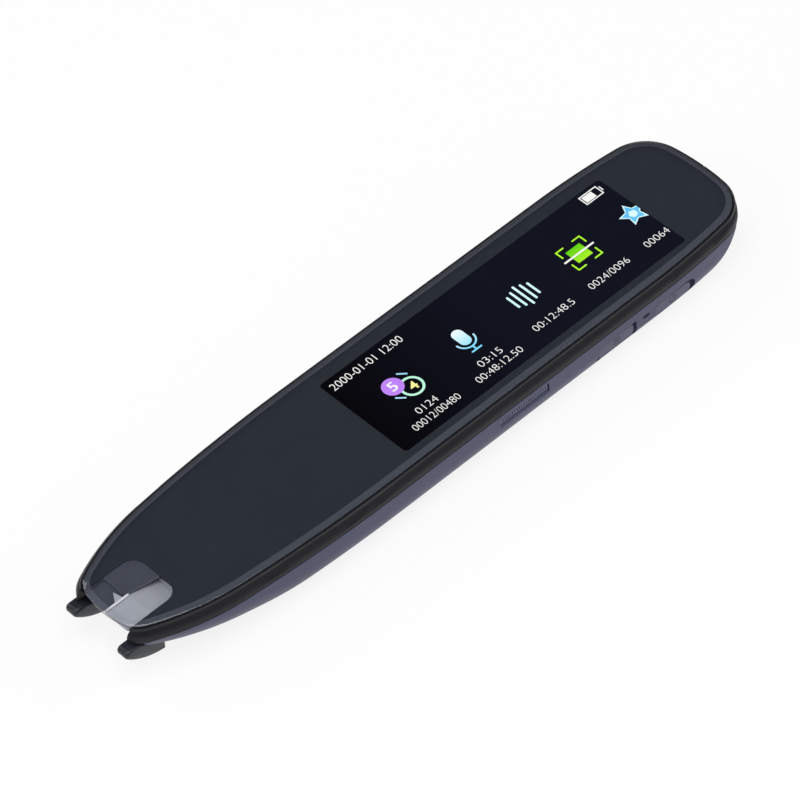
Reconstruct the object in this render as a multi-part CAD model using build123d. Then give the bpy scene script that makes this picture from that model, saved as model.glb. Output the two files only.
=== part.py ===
from build123d import *
from math import asin, cos, hypot, radians, sin, tan
import os

# A handheld scanning pen: a long flat body with a glass front, a lit display, two side
# buttons, a scan mouth at the tip and two feet that press in to start a scan.
# Origin under the middle of the body, +X to the tail, +Y to the far side, +Z out of the glass.

# Whole body
pen_length = 153.0
pen_width = 32.7
pen_depth = 12.3
foot_reach = 1.55
band_bulge = 0.9
bulge_corner_growth = 1.72
tail_swell = 0.55
bowl_middle_back = 21.72
bowl_reach = 22.64
bowl_round = 14.5
bowl_rise = 1.98
tail_taper_length = 27.7
tail_side_radius = 165.0
tail_end_radius = 53.5
tail_corner_share = 0.574
tip_taper_length = 56.9
tip_first_length = 36.0
tip_first_radius = 350.0
tip_second_radius = 53.0
tip_end_radius = 22.6
tip_corner_share = 0.36
ramp_length = 31.2
ramp_angle = 10.0
ramp_blend_radius = 60.0
hull_round_share = 0.4
cut_overrun = 2.0
seat_gap = 0.05
slide_gap = 0.15

# Middle frame: outer band, glass ledge, skirt inside the housing, display tray
seam_drop = 3.2
seam_step = 0.08
lip_drop = 0.3
lip_thickness = 0.35
band_round = 2.0
frame_wall = 2.0
ledge_width = 0.5
skirt_drop = 1.2
skirt_gap = 0.1
skirt_setback = 14.0
skirt_tail_setback = 14.0
tray_thickness = 0.7
tray_setback = 22.4
mouth_side_step = 1.55
mouth_length = 14.3
rim_notch_width = 1.3
rim_notch_depth = 0.35
rim_notch_height = 1.3
rim_slit_width = 0.45
rim_slit_from_tail = 54.4
boss_radius = 1.6
screw_hole_radius = 0.55

# Cover glass with its printed back
glass_gap = 0.25
glass_thickness = 1.0
bevel_width = 1.15
bevel_drop = 0.2
print_thickness = 0.12
print_inset = 0.1
adhesive_thickness = 0.15
adhesive_inset = 0.75
adhesive_width = 1.2
window_side_step = 0.6
window_length = 12.6
window_corner_radius = 2.9
display_from_tip = 64.95
display_from_side = 4.9
display_window_round = 0.8
display_from_tail = 15.9

# Display module behind the glass, and its flat cable
panel_border_tail = 1.6
panel_border_tip = 3.4
panel_border_side = 0.9
panel_thickness = 1.7
panel_tray_gap = 0.05
display_flex_width = 9.0
flex_thickness = 0.15
flex_bend_radius = 0.5
flex_loop_reach = 1.6
flex_loop_drop = 0.7
flex_slot_start = 0.3
flex_slot_length = 2.6

# Rear housing
housing_wall = 1.2
port_half_width = 4.65
port_half_height = 1.75
port_drop = 5.65
foot_mouth_gap = 0.2
foot_mouth_length = 8.7
rib_thickness = 1.0
spring_wall_back = 27.7
spring_wall_side_step = 0.7
spring_wall_top_drop = 4.4
guide_back = 13.0
guide_length = 1.6
chamber_rib_back = 11.4
camera_rib_back = 19.4

# Button recess on the near side
recess_length = 26.2
recess_height = 4.8
recess_depth = 1.35
recess_from_tail = 31.3
recess_drop = 7.55
recess_pad = 0.8
bridge_length = 5.2
bridge_step = 0.3
mic_slot_length = 1.7
mic_slot_height = 0.7
mic_slot_rise = 1.3

# Buttons, one for power and one for the menu
button_length = 9.6
button_height = 2.6
button_proud = 0.6
button_round = 0.25
button_gap = 0.12
button_end_margin = 0.9
flange_margin = 0.5
flange_thickness = 0.5
flange_pocket_depth = 1.0
flange_lift = 0.05
button_travel = 0.25
switch_length = 4.4
switch_height = 3.2
switch_depth = 3.9
plunger_radius = 0.8
plunger_length = 0.4

# Speaker grille on the near side
grille_length = 12.4
grille_from_tail = 63.1
grille_top_drop = 3.85
grille_bar_height = 1.25
grille_pocket_height = 2.4
grille_pocket_depth = 0.8
grille_end_gap = 0.5
grille_groove_pitch = 0.6
grille_groove_width = 0.25
grille_margin = 0.2
sound_slot_height = 0.7

# Speaker box
speaker_length = 13.0
speaker_lead_clear = 3.3
speaker_height = 5.0
speaker_round = 1.0
speaker_near_clear = 2.15
speaker_duct_depth = 3.0
speaker_duct_length = 10.0
speaker_cone_radius = 5.2
speaker_cone_depth = 1.4
speaker_dome_radius = 2.0

# Battery, its protection board and leads
battery_tip_clear = 1.55
battery_from_side = 5.35
battery_thickness = 5.4
battery_round = 0.9
battery_from_tail = 72.8
battery_top_clear = 0.35
battery_cap_length = 2.3
battery_cap_step = 1.0
battery_cap_height = 4.4
lead_radius = 0.35
lead_pitch = 1.4
lead_from_side = 8.45
lead_rise = 0.55
battery_rib_shares = (0.15, 0.45, 0.75)
speaker_rib_shares = (0.2, 0.8)

# Main board and what stands on it
board_length = 44.5
board_from_side = 5.6
board_thickness = 0.9
board_round = 1.5
board_from_tail = 7.5
board_drop = 5.2
board_hole_radius = 0.65
screw_tip_inset = 8.6
screw_tail_inset = 10.7
screw_side_inset = 2.6
screw_radius = 0.5
screw_head_radius = 1.2
screw_head_height = 0.5
screw_length = 2.3
screw_cross_width = 0.35
chip_side = 8.0
chip_thickness = 0.9
chip_gap = 0.05
can_length = 18.0
can_width = 12.0
can_height = 1.35
can_wall = 0.2
can_round = 0.6
connector_length = 3.0
connector_height = 1.1
display_connector_width = 8.0
camera_connector_width = 5.6
battery_connector_width = 3.8
microphone_length = 3.0
microphone_width = 2.7
microphone_height = 1.0
microphone_reach = 1.85
antenna_length = 14.0
antenna_from_side = 8.35
antenna_gap_width = 2.0
antenna_slot_shares = (0.25, 0.6)

# Charging port
port_setback = 2.9
port_length = 7.1
port_shell_width = 8.94
port_shell_height = 3.2
port_wall = 0.3
tongue_width = 6.7
tongue_thickness = 0.7
tongue_setback = 0.8
port_back_length = 2.0
port_notch_gap = 0.13

# Scan head in the tip
chamber_wall = 0.6
chamber_side_gap = 0.2
nose_foot_gap = 0.15
chamber_top_drop = 1.35
chamber_step_drop = 4.3
chamber_floor_clear = 0.35
chamber_setback = 1.25
chamber_length = 12.9
duct_length = 14.4
mouth_slant_angle = 36.0
roof_drop = 1.7
roof_thickness = 0.7
scan_glass_thickness = 0.6
scan_glass_setback = 0.7
diffuser_top_drop = 1.45
diffuser_thickness = 0.5
diffuser_setback = 1.35
diffuser_flat_length = 5.35
diffuser_slope_drop = 1.65
diffuser_side_gap = 0.1
strip_width = 0.5
strip_rise = 0.25
strip_offset = -0.3
gusset_base = 1.9
gusset_height = 2.1
gusset_setback = 3.7
gusset_thickness = 0.3
led_window_side_step = 0.45
led_board_back = 15.0
led_board_thickness = 0.6
led_board_side_step = 0.15
led_board_height = 2.4
led_size = 1.5
led_height = 0.7
led_spread = 3.2
camera_back = 17.3
camera_side = 5.2
camera_depth = 4.0
camera_drop = 5.4
barrel_radius = 1.8
barrel_length = 1.4
barrel_bore_radius = 1.25
lens_radius = 1.2
lens_thickness = 0.8
camera_flex_width = 5.0
camera_flex_clear = 0.08

# Feet, their carrier, springs and trigger switch
foot_spacing_share = 0.4158
foot_thickness = 3.2
foot_top_drop = 4.6
foot_edge_round = 0.8
foot_plan_round = 1.2
foot_nose_round = 0.9
foot_belly_angle = 30.0
foot_shoulder_back = 3.4
foot_shoulder_fall = 3.35
foot_belly_back = 5.55
foot_belly_fall = 4.3
foot_heel_back = 7.6
foot_heel_fall = 5.1
rail_top_drop = 4.6
rail_height = 1.8
rail_thickness = 2.2
foot_travel = 0.8
carrier_back = 22.3
carrier_length = 1.8
carrier_low_drop = 8.2
spring_radius = 0.9
spring_wire_radius = 0.14
spring_turns = 5
spring_spread = 4.8
spring_drop = 6.3
spring_pin_radius = 0.5
spring_pin_length = 1.2
trigger_length = 2.0
trigger_width = 4.2
trigger_height = 2.6
trigger_plunger_radius = 0.6

# Places that follow from the sizes above
half_length = pen_length / 2
half_width = pen_width / 2 - band_bulge
body_side = pen_width / 2
tail_corner_radius = half_width * tail_corner_share
tip_corner_radius = half_width * tip_corner_share
hull_round = half_width * hull_round_share
foot_spacing = pen_width * foot_spacing_share
nose_half_width = (foot_spacing - foot_thickness) / 2 - nose_foot_gap
mouth_half_width = nose_half_width + mouth_side_step
chamber_half_width = mouth_half_width - chamber_side_gap
window_half_width = mouth_half_width - window_side_step
led_board_half_width = nose_half_width + led_board_side_step
led_window_half_width = nose_half_width - led_window_side_step
foot_mouth_half_width = (foot_spacing + foot_thickness) / 2 + foot_mouth_gap
spring_wall_half_width = foot_spacing / 2 + spring_wall_side_step
display_window_length = pen_length - display_from_tail - display_from_tip
display_window_width = pen_width - 2 * display_from_side
battery_width = pen_width - 2 * battery_from_side
battery_cap_width = battery_width - 2 * battery_cap_step
board_width = pen_width - 2 * board_from_side
antenna_width = pen_width - 2 * antenna_from_side
lead_side = half_width - lead_from_side
speaker_width = half_width - speaker_near_clear + lead_side - speaker_lead_clear
tail_end = half_length - tail_swell
tip_end = foot_reach - half_length
glass_top = pen_depth
seam_level = glass_top - seam_drop
print_level = glass_top - glass_thickness
print_low = print_level - print_thickness
ledge_level = print_low - adhesive_thickness
panel_low = print_low - panel_thickness
tray_top = panel_low - panel_tray_gap
tray_bottom = tray_top - tray_thickness
glass_inset = lip_thickness + glass_gap
tail_taper_start = tail_end - tail_taper_length
tip_taper_start = tip_end + tip_taper_length
board_top = glass_top - board_drop
board_bottom = board_top - board_thickness
board_tail = tail_end - board_from_tail
board_tip = board_tail - board_length
skirt_outer = housing_wall + skirt_gap
display_tail = tail_end - display_from_tail
display_tip = display_tail - display_window_length
recess_middle = tail_end - recess_from_tail
recess_level = glass_top - recess_drop
recess_floor = recess_depth - body_side
pad_inner = recess_floor + recess_pad
grille_middle = tail_end - grille_from_tail
grille_top = glass_top - grille_top_drop
battery_top = tray_bottom - battery_top_clear
battery_tail = tail_end - battery_from_tail
port_level = glass_top - port_drop
port_front = half_length - port_setback
chamber_top = glass_top - chamber_top_drop
chamber_step = glass_top - chamber_step_drop
ramp_rise = (ramp_length - foot_mouth_length) * tan(radians(ramp_angle))
chamber_floor = ramp_rise + housing_wall + chamber_floor_clear
chamber_front = tip_end + chamber_setback
slant_share = tan(radians(mouth_slant_angle))
roof_side = slide_gap - strip_offset
spring_wall = tip_end + spring_wall_back
carrier_front = tip_end + carrier_back
spring_level = glass_top - spring_drop
battery_length = battery_tail - spring_wall - rib_thickness - battery_tip_clear


def block(x_low, x_high, y_low, y_high, z_low, z_high):
    size = (x_high - x_low, y_high - y_low, z_high - z_low)
    middle = ((x_high + x_low) / 2, (y_high + y_low) / 2, (z_high + z_low) / 2)
    return Pos(*middle) * Box(*size)


def middle_block(x_low, x_high, width, z_low, z_high):
    return block(x_low, x_high, -width / 2, width / 2, z_low, z_high)


def rounded_plate(x_low, x_high, y_low, y_high, z_low, z_high, corner):
    face = RectangleRounded(x_high - x_low, y_high - y_low, corner)
    middle = Pos((x_high + x_low) / 2, (y_high + y_low) / 2, z_low)
    return middle * extrude(face, amount=z_high - z_low)


def side_plate(points, y_low, y_high):
    # A shape drawn in the XZ plane and given its width along Y.
    face = make_face(Polyline([(x, 0, z) for x, z in points], close=True))
    solid = extrude(face, amount=(y_high - y_low) / 2, both=True)
    return Pos(0, (y_high + y_low) / 2, 0) * solid


def arc_about(centre, start, end):
    radius = hypot(start[0] - centre[0], start[1] - centre[1])
    lean_x = start[0] + end[0] - 2 * centre[0]
    lean_y = start[1] + end[1] - 2 * centre[1]
    lean = hypot(lean_x, lean_y)
    middle = (centre[0] + radius * lean_x / lean, centre[1] + radius * lean_y / lean)
    return ThreePointArc(start, middle, end)


def outer_crossing(side, first_centre, first_radius, second_centre, second_radius):
    # Of the two points where the circles meet, the one farther out towards that end.
    along_x = second_centre[0] - first_centre[0]
    along_y = second_centre[1] - first_centre[1]
    apart = hypot(along_x, along_y)
    reach = (first_radius ** 2 - second_radius ** 2 + apart ** 2) / (2 * apart)
    rise = (first_radius ** 2 - reach ** 2) ** 0.5
    base_x = first_centre[0] + reach * along_x / apart
    base_y = first_centre[1] + reach * along_y / apart
    ends = [
        (base_x - rise * along_y / apart, base_y + rise * along_x / apart),
        (base_x + rise * along_y / apart, base_y - rise * along_x / apart),
    ]
    return max(ends, key=lambda point: side * point[0])


def outline_at(inset):
    # The rim round the glass: straight sides, a tail of two arcs and a tip of three, with
    # rounded corners. An inset keeps every centre and takes the inset off every radius. The
    # body below the rim swells out past it, which is an inset below zero.
    side_y = half_width - inset
    tail_side_centre = (tail_taper_start, half_width - tail_side_radius)
    tail_centre = (tail_end - tail_end_radius, 0)
    first_centre = (tip_taper_start, half_width - tip_first_radius)
    first_turn = asin(tip_first_length / tip_first_radius)
    run = tip_first_radius - tip_second_radius
    second_centre = (
        first_centre[0] - run * sin(first_turn),
        first_centre[1] + run * cos(first_turn),
    )
    tip_centre = (tip_end + tip_end_radius, 0)
    side_radius = tail_side_radius - inset
    tail_radius = tail_end_radius - inset
    second_radius = tip_second_radius - inset
    tip_radius = tip_end_radius - inset
    tail_corner = outer_crossing(1, tail_side_centre, side_radius, tail_centre, tail_radius)
    tip_corner = outer_crossing(-1, second_centre, second_radius, tip_centre, tip_radius)
    joint_x = second_centre[0] - second_radius * sin(first_turn)
    joint_y = second_centre[1] + second_radius * cos(first_turn)
    tip_mirror = (tip_corner[0], -tip_corner[1])
    tail_mirror = (tail_corner[0], -tail_corner[1])
    curves = [
        ThreePointArc(tip_mirror, (tip_end + inset, 0), tip_corner),
        ThreePointArc(tail_corner, (tail_end - inset, 0), tail_mirror),
    ]
    for side in (-1, 1):
        corner = (tip_corner[0], side * tip_corner[1])
        joint = (joint_x, side * joint_y)
        front = (tip_taper_start, side * side_y)
        rear = (tail_taper_start, side * side_y)
        end = (tail_corner[0], side * tail_corner[1])
        curves += [
            arc_about((second_centre[0], side * second_centre[1]), corner, joint),
            arc_about((first_centre[0], side * first_centre[1]), joint, front),
            Line(front, rear),
            arc_about((tail_side_centre[0], side * tail_side_centre[1]), rear, end),
        ]
    face = make_face(Curve() + curves)
    tip_points = [point for point in face.vertices() if abs(point.X - tip_corner[0]) < seat_gap]
    face = fillet(tip_points, tip_corner_radius - inset)
    tail_points = [point for point in face.vertices() if abs(point.X - tail_corner[0]) < seat_gap]
    growth = bulge_corner_growth if inset < 0 else 1
    return fillet(tail_points, tail_corner_radius - inset * growth)


def slab(inset, z_low, z_high):
    return Pos(0, 0, z_low) * extrude(outline_at(inset), amount=z_high - z_low)


def underside_profile(inset):
    # Flat under the body, then bent up by the ramp angle towards the tip.
    turn = radians(ramp_angle)
    shift = inset * tan(turn / 2)
    bend_x = tip_end + ramp_length - shift
    blend_reach = ramp_blend_radius * tan(turn / 2)
    flat_end = (bend_x + blend_reach, inset)
    centre = (flat_end[0], inset + ramp_blend_radius)
    slope_start = (
        centre[0] - ramp_blend_radius * sin(turn),
        centre[1] - ramp_blend_radius * cos(turn),
    )
    far_tip = tip_end - cut_overrun
    slope_end = (far_tip, slope_start[1] + (slope_start[0] - far_tip) * tan(turn))
    tail_side = tail_end + cut_overrun
    top = glass_top + cut_overrun
    lines = [
        Line((tail_side, inset), flat_end),
        arc_about(centre, flat_end, slope_start),
        Line(slope_start, slope_end),
        Line(slope_end, (far_tip, top)),
        Line((far_tip, top), (tail_side, top)),
        Line((tail_side, top), (tail_side, inset)),
    ]
    return make_face(Curve() + lines)


def runs_across(edge):
    start = edge.position_at(0)
    end = edge.position_at(1)
    return abs(start.X - end.X) < seat_gap and abs(start.Y - end.Y) > pen_width / 4


def hull(inset, floor_inset, low_round):
    # The body as a solid block, its lower edge rounded all round.
    side = Plane.XZ * underside_profile(floor_inset)
    band = extrude(side, amount=pen_width, both=True)
    solid = slab(inset, 0, glass_top) & band
    low_edges = []
    for face in solid.faces():
        if face.normal_at(face.center()).Z < -cos(radians(ramp_angle * 2)):
            low_edges += face.edges()
    rim = [edge for edge in low_edges if not runs_across(edge)]
    return fillet(rim, low_round)


def tail_bowl(inset):
    # The tail's lower end swept in like a bowl: an arc spun about an upright axis, and a
    # block for all that lies ahead of that axis.
    reach = bowl_reach - inset
    turn_round = bowl_round - inset
    level = glass_top + bowl_rise
    base = level - turn_round
    arc_middle = reach - turn_round
    lean = radians(45)
    halfway = (arc_middle + turn_round * sin(lean), level - turn_round * cos(lean))
    lines = [
        Line((0, base), (arc_middle, base)),
        ThreePointArc((arc_middle, base), halfway, (reach, level)),
        Line((reach, level), (0, level)),
        Line((0, level), (0, base)),
    ]
    face = Plane.XZ * make_face(Curve() + lines)
    middle = tail_end - bowl_middle_back
    bowl = Pos(middle, 0, 0) * revolve(face, Axis.Z)
    return bowl + block(-pen_length, middle, -pen_width, pen_width, base, level)


outer_hull = hull(-band_bulge, 0, hull_round) & tail_bowl(0)
inner_hull = hull(housing_wall, housing_wall, hull_round - 2 * housing_wall)
inner_hull &= tail_bowl(housing_wall)


def screw_places():
    x_low = board_tip + screw_tip_inset
    x_high = board_tail - screw_tail_inset
    y_side = board_width / 2 - screw_side_inset
    return [(x_low, y_side), (x_low, -y_side), (x_high, y_side), (x_high, -y_side)]


def button_middle(side):
    return recess_middle + side * (recess_length / 2 - button_end_margin - button_length / 2)


def cover_glass():
    body = slab(glass_inset, print_level, glass_top - bevel_drop)
    rim = Pos(0, 0, glass_top - bevel_drop) * outline_at(glass_inset)
    crown = Pos(0, 0, glass_top) * outline_at(glass_inset + bevel_width)
    return body + loft([rim.face(), crown.face()])


def display_box(margin_tip, margin_tail, margin_side, z_low, z_high):
    high = display_tail + margin_tail
    low = display_tip - margin_tip
    side = display_window_width / 2 + margin_side
    return rounded_plate(low, high, -side, side, z_low, z_high, display_window_round)


def glass_print():
    sheet = slab(glass_inset + print_inset, print_low, print_level)
    under = print_low - cut_overrun
    over = print_level + cut_overrun
    sheet -= display_box(0, 0, 0, under, over)
    front = tip_end - window_length
    back = tip_end + glass_inset + window_length
    side = window_half_width
    return sheet - rounded_plate(front, back, -side, side, under, over, window_corner_radius)


def glass_adhesive():
    under = ledge_level - cut_overrun
    over = print_low + cut_overrun
    ring = slab(adhesive_inset, ledge_level, print_low)
    ring -= slab(adhesive_inset + adhesive_width, under, over)
    return ring - mouth_block()


def mouth_block():
    low = tip_end - cut_overrun
    return middle_block(low, tip_end + mouth_length, mouth_half_width * 2, 0, pen_depth * 2)


def middle_frame():
    band = slab(seam_step - band_bulge, seam_level, glass_top - lip_drop)
    top_edges = band.faces().sort_by(Axis.Z)[-1].edges()
    band = fillet(top_edges, band_round) & tail_bowl(0)
    band -= slab(lip_thickness, ledge_level, glass_top + cut_overrun)
    band -= slab(frame_wall + ledge_width, seam_level - cut_overrun, glass_top)
    band -= slab(frame_wall, seam_level - cut_overrun, tray_top)
    skirt_low = seam_level - skirt_drop
    skirt = slab(skirt_outer, skirt_low, seam_level)
    skirt -= slab(frame_wall, skirt_low - cut_overrun, seam_level + cut_overrun)
    skirt_end = tail_end - skirt_tail_setback
    skirt &= middle_block(tip_end + skirt_setback, skirt_end, pen_width, 0, glass_top)
    tray = slab(frame_wall, tray_bottom, tray_top)
    tray &= middle_block(tip_end + tray_setback, tail_end, pen_width, 0, glass_top)
    below = middle_block(tip_end, half_length, pen_width, 0, seam_level)
    frame = band + skirt + tray - (below - tail_bowl(skirt_outer))
    boss_height = tray_bottom - board_top
    for x_place, y_place in screw_places():
        boss = Cylinder(boss_radius, boss_height)
        frame += Pos(x_place, y_place, board_top + boss_height / 2) * boss
    for x_place, y_place in screw_places():
        hole = Cylinder(screw_hole_radius, boss_height * 2)
        frame -= Pos(x_place, y_place, board_top) * hole
    slot_start = display_tail + panel_border_tail + flex_slot_start
    slot_width = display_flex_width + 2 * slide_gap
    frame -= middle_block(
        slot_start, slot_start + flex_slot_length, slot_width, 0, tray_top + slide_gap
    )
    frame -= mouth_block()
    frame -= rim_notch()
    frame -= rim_slit()
    return frame - pad_clearance() - sound_clearance() - port_clearance()


def rim_notch():
    low = tail_end + band_bulge / 2 - rim_notch_depth
    low_level = glass_top - lip_drop - rim_notch_height
    return middle_block(low, tail_end + cut_overrun, rim_notch_width, low_level, glass_top)


def rim_slit():
    middle = tail_end - rim_slit_from_tail
    y_low = half_width - lip_thickness - slide_gap
    low = middle - rim_slit_width / 2
    high = middle + rim_slit_width / 2
    return block(low, high, y_low, half_width + cut_overrun, ledge_level, glass_top)


def pad_clearance():
    # Room in the skirt for the thick wall behind the button recess.
    reach = recess_length / 2 + 2 * housing_wall
    low = recess_middle - reach
    high = recess_middle + reach
    return block(low, high, -pen_width, pad_inner + skirt_gap, 0, seam_level)


def sound_clearance():
    reach = grille_length / 2 + housing_wall
    low = grille_middle - reach
    high = grille_middle + reach
    return block(low, high, -pen_width, speaker_near_clear - half_width, 0, seam_level)


def port_clearance():
    width = 2 * (port_half_width + slide_gap)
    return middle_block(board_tail, tail_end, width, 0, seam_level)


def display_panel():
    return display_box(
        panel_border_tip, panel_border_tail, panel_border_side, panel_low, print_low
    )


def strip(points, width):
    # A flat cable: a bent line in the XZ plane given the cable thickness and width.
    path = FilletPolyline(points, radius=flex_bend_radius)
    face = Plane.XZ * trace(path, line_width=flex_thickness)
    return extrude(face, amount=width / 2, both=True)


def display_flex():
    panel_end = display_tail + panel_border_tail
    level = panel_low + flex_loop_drop
    fold_x = panel_end + flex_loop_reach
    foot_level = board_top + connector_height + flex_thickness
    foot_end = board_tail - screw_tail_inset + connector_length / 2
    points = [(panel_end, level), (fold_x, level), (fold_x, foot_level), (foot_end, foot_level)]
    return strip(points, display_flex_width)


def stadium(length, height, y_low, y_high):
    # An oval bar along Y, its outline standing in the XZ plane.
    face = Plane.XZ * SlotOverall(length, height)
    bar = extrude(face, amount=(y_high - y_low) / 2, both=True)
    return Pos(0, (y_low + y_high) / 2, 0) * bar


def rear_housing():
    above = block(-pen_length, pen_length, -pen_width, pen_width, seam_level, pen_depth * 2)
    lower_hull = outer_hull - above
    shell = lower_hull - inner_hull
    pad_reach = recess_length / 2 + housing_wall
    pad_low = recess_level - recess_height / 2 - housing_wall
    pad = block(
        recess_middle - pad_reach, recess_middle + pad_reach,
        -body_side, pad_inner, pad_low, seam_level,
    )
    shell += pad & lower_hull
    outside = -body_side - cut_overrun
    recess = Pos(recess_middle, 0, recess_level)
    shell -= recess * stadium(recess_length, recess_height, outside, recess_floor)
    bridge = block(
        recess_middle - bridge_length / 2, recess_middle + bridge_length / 2,
        bridge_step - body_side, recess_floor + slide_gap,
        recess_level - recess_height / 2, recess_level + recess_height / 2,
    )
    shell += bridge & lower_hull
    hole_place = Pos(recess_middle, 0, recess_level + mic_slot_rise)
    hole_end = pad_inner + cut_overrun
    shell -= hole_place * stadium(mic_slot_length, mic_slot_height, outside, hole_end)
    pocket_length = button_length + 2 * flange_margin + 2 * slide_gap
    pocket_height = button_height + 2 * flange_margin + 2 * slide_gap
    pocket_end = pad_inner + flange_pocket_depth
    for side in (-1, 1):
        place = Pos(button_middle(side), 0, recess_level)
        open_length = button_length + 2 * button_gap
        open_height = button_height + 2 * button_gap
        shell -= place * stadium(open_length, open_height, outside, pocket_end)
        shell -= place * stadium(pocket_length, pocket_height, pad_inner, pocket_end)
    for cutter in (grille_pocket(), sound_slot(), port_opening(), foot_mouth()):
        shell -= cutter
    for rib in housing_ribs():
        shell += rib & inner_hull
    return shell


def grille_pocket():
    # Square behind the bar, sloping out below it.
    inner = grille_pocket_depth - body_side
    outside = -body_side - cut_overrun
    low = grille_top - grille_pocket_height
    ledge = grille_top - grille_bar_height
    points = [
        (outside, grille_top),
        (inner, grille_top),
        (inner, ledge),
        (-body_side, low),
        (outside, low),
    ]
    face = make_face(Polyline([(0, y, z) for y, z in points], close=True))
    return Pos(grille_middle, 0, 0) * extrude(face, amount=grille_length / 2, both=True)


def sound_slot():
    margin = (grille_bar_height - sound_slot_height) / 2
    reach = grille_length / 2 - grille_end_gap * 2
    inner = grille_pocket_depth - body_side
    low = grille_top - grille_bar_height + margin
    high = grille_top - margin
    start = grille_middle - reach
    end = housing_wall + slide_gap - half_width
    return block(start, grille_middle + reach, inner - slide_gap, end, low, high)


def speaker_grille():
    low = grille_top - grille_bar_height + seat_gap
    high = grille_top - seat_gap
    inner = grille_pocket_depth - body_side
    start = grille_middle - grille_length / 2 + seat_gap
    end = grille_middle + grille_length / 2 - grille_end_gap
    bar = block(start, end, -body_side, inner, low, high)
    count = int((end - start - 2 * grille_margin) / grille_groove_pitch)
    first = (start + end) / 2 - (count - 1) * grille_groove_pitch / 2
    for index in range(count):
        x_place = first + index * grille_groove_pitch
        bar -= block(
            x_place - grille_groove_width / 2, x_place + grille_groove_width / 2,
            -pen_width, inner + cut_overrun,
            low + grille_margin, high - grille_margin,
        )
    return bar


def port_opening():
    face = Plane.YZ * SlotOverall(port_half_width * 2, port_half_height * 2)
    tunnel = extrude(face, amount=port_length, both=True)
    return Pos(tail_end, 0, port_level) * tunnel


def foot_mouth():
    # Room under the tip for the feet and the nose of the scan head.
    low = tip_end - cut_overrun
    high = tip_end + foot_mouth_length
    return middle_block(low, high, foot_mouth_half_width * 2, -cut_overrun, pen_depth)


def housing_ribs():
    ribs = []
    battery_low = battery_top - battery_thickness - seat_gap
    for share in battery_rib_shares:
        x_place = battery_tail - battery_length * share
        ribs.append(rib_at(x_place, battery_width, battery_low))
    speaker_low = battery_top - speaker_height - seat_gap
    for share in speaker_rib_shares:
        x_place = grille_middle + speaker_length * (share - 0.5)
        ribs.append(rib_at(x_place, speaker_width, speaker_low))
    wall_top = glass_top - spring_wall_top_drop
    wall_width = spring_wall_half_width * 2
    ribs.append(rib_at(spring_wall + rib_thickness / 2, wall_width, wall_top))
    chamber_low = chamber_floor - seat_gap
    ribs.append(rib_at(tip_end + chamber_rib_back, nose_half_width * 2, chamber_low))
    camera_low = glass_top - camera_drop - camera_side / 2 - seat_gap
    ribs.append(rib_at(tip_end + camera_rib_back, camera_side, camera_low))
    guide_top = glass_top - rail_top_drop - rail_height - skirt_gap
    for side in (-1, 1):
        y_low = side * foot_spacing / 2 - rail_thickness / 2
        low = tip_end + guide_back
        ribs.append(block(low, low + guide_length, y_low, y_low + rail_thickness, 0, guide_top))
    return ribs


def rib_at(x_place, width, top):
    reach = rib_thickness / 2
    return middle_block(x_place - reach, x_place + reach, width, 0, top)


def battery():
    low = battery_top - battery_thickness
    start = battery_tail - battery_length
    cell = middle_block(start, battery_tail, battery_width, low, battery_top)
    return fillet(cell.edges().filter_by(Axis.X), battery_round)


def battery_cap():
    high = battery_top - seat_gap
    end = battery_tail + battery_cap_length
    return middle_block(battery_tail, end, battery_cap_width, high - battery_cap_height, high)


def battery_leads():
    start = battery_tail + battery_cap_length
    end = board_tip + connector_length / 2
    level = board_top + lead_rise
    leads = []
    for side in (-1, 1):
        wire = Cylinder(lead_radius, end - start, rotation=(0, 90, 0))
        y_place = lead_side + side * lead_pitch / 2
        leads.append(Pos((start + end) / 2, y_place, level) * wire)
    return Compound(children=leads)


def speaker_bounds():
    low = grille_middle - speaker_length / 2
    near = speaker_near_clear - half_width
    return (low, low + speaker_length, near, near + speaker_width)


def speaker_box():
    x_low, x_high, y_low, y_high = speaker_bounds()
    low = battery_top - speaker_height
    box = rounded_plate(x_low, x_high, y_low, y_high, low, battery_top, speaker_round)
    duct_reach = speaker_duct_length / 2
    margin = (grille_bar_height - sound_slot_height) / 2
    box -= block(
        grille_middle - duct_reach, grille_middle + duct_reach,
        y_low - cut_overrun, y_low + speaker_duct_depth,
        grille_top - grille_bar_height + margin, grille_top - margin,
    )
    pocket = Cylinder(speaker_cone_radius, speaker_cone_depth * 2)
    return box - Pos(grille_middle, (y_low + y_high) / 2, low) * pocket


def speaker_cone():
    x_low, x_high, y_low, y_high = speaker_bounds()
    low = battery_top - speaker_height
    level = low + speaker_cone_depth - seat_gap
    ring_height = speaker_cone_depth / 2
    disc = Cylinder(speaker_cone_radius - seat_gap, ring_height)
    cone = Pos(0, 0, -ring_height / 2) * disc
    dish = Cone(speaker_cone_radius - housing_wall, speaker_dome_radius, ring_height / 2)
    cone -= Pos(0, 0, -ring_height * 3 / 4) * dish
    return Pos(grille_middle, (y_low + y_high) / 2, level) * cone


def main_board():
    side = board_width / 2
    board = rounded_plate(board_tip, board_tail, -side, side, board_bottom, board_top, board_round)
    for x_place, y_place in screw_places():
        hole = Cylinder(board_hole_radius, board_thickness * 3)
        board -= Pos(x_place, y_place, board_bottom) * hole
    notch_low = port_front - port_length - port_notch_gap
    notch_width = port_shell_width + 2 * port_notch_gap
    return board - middle_block(notch_low, tail_end, notch_width, 0, glass_top)


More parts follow.
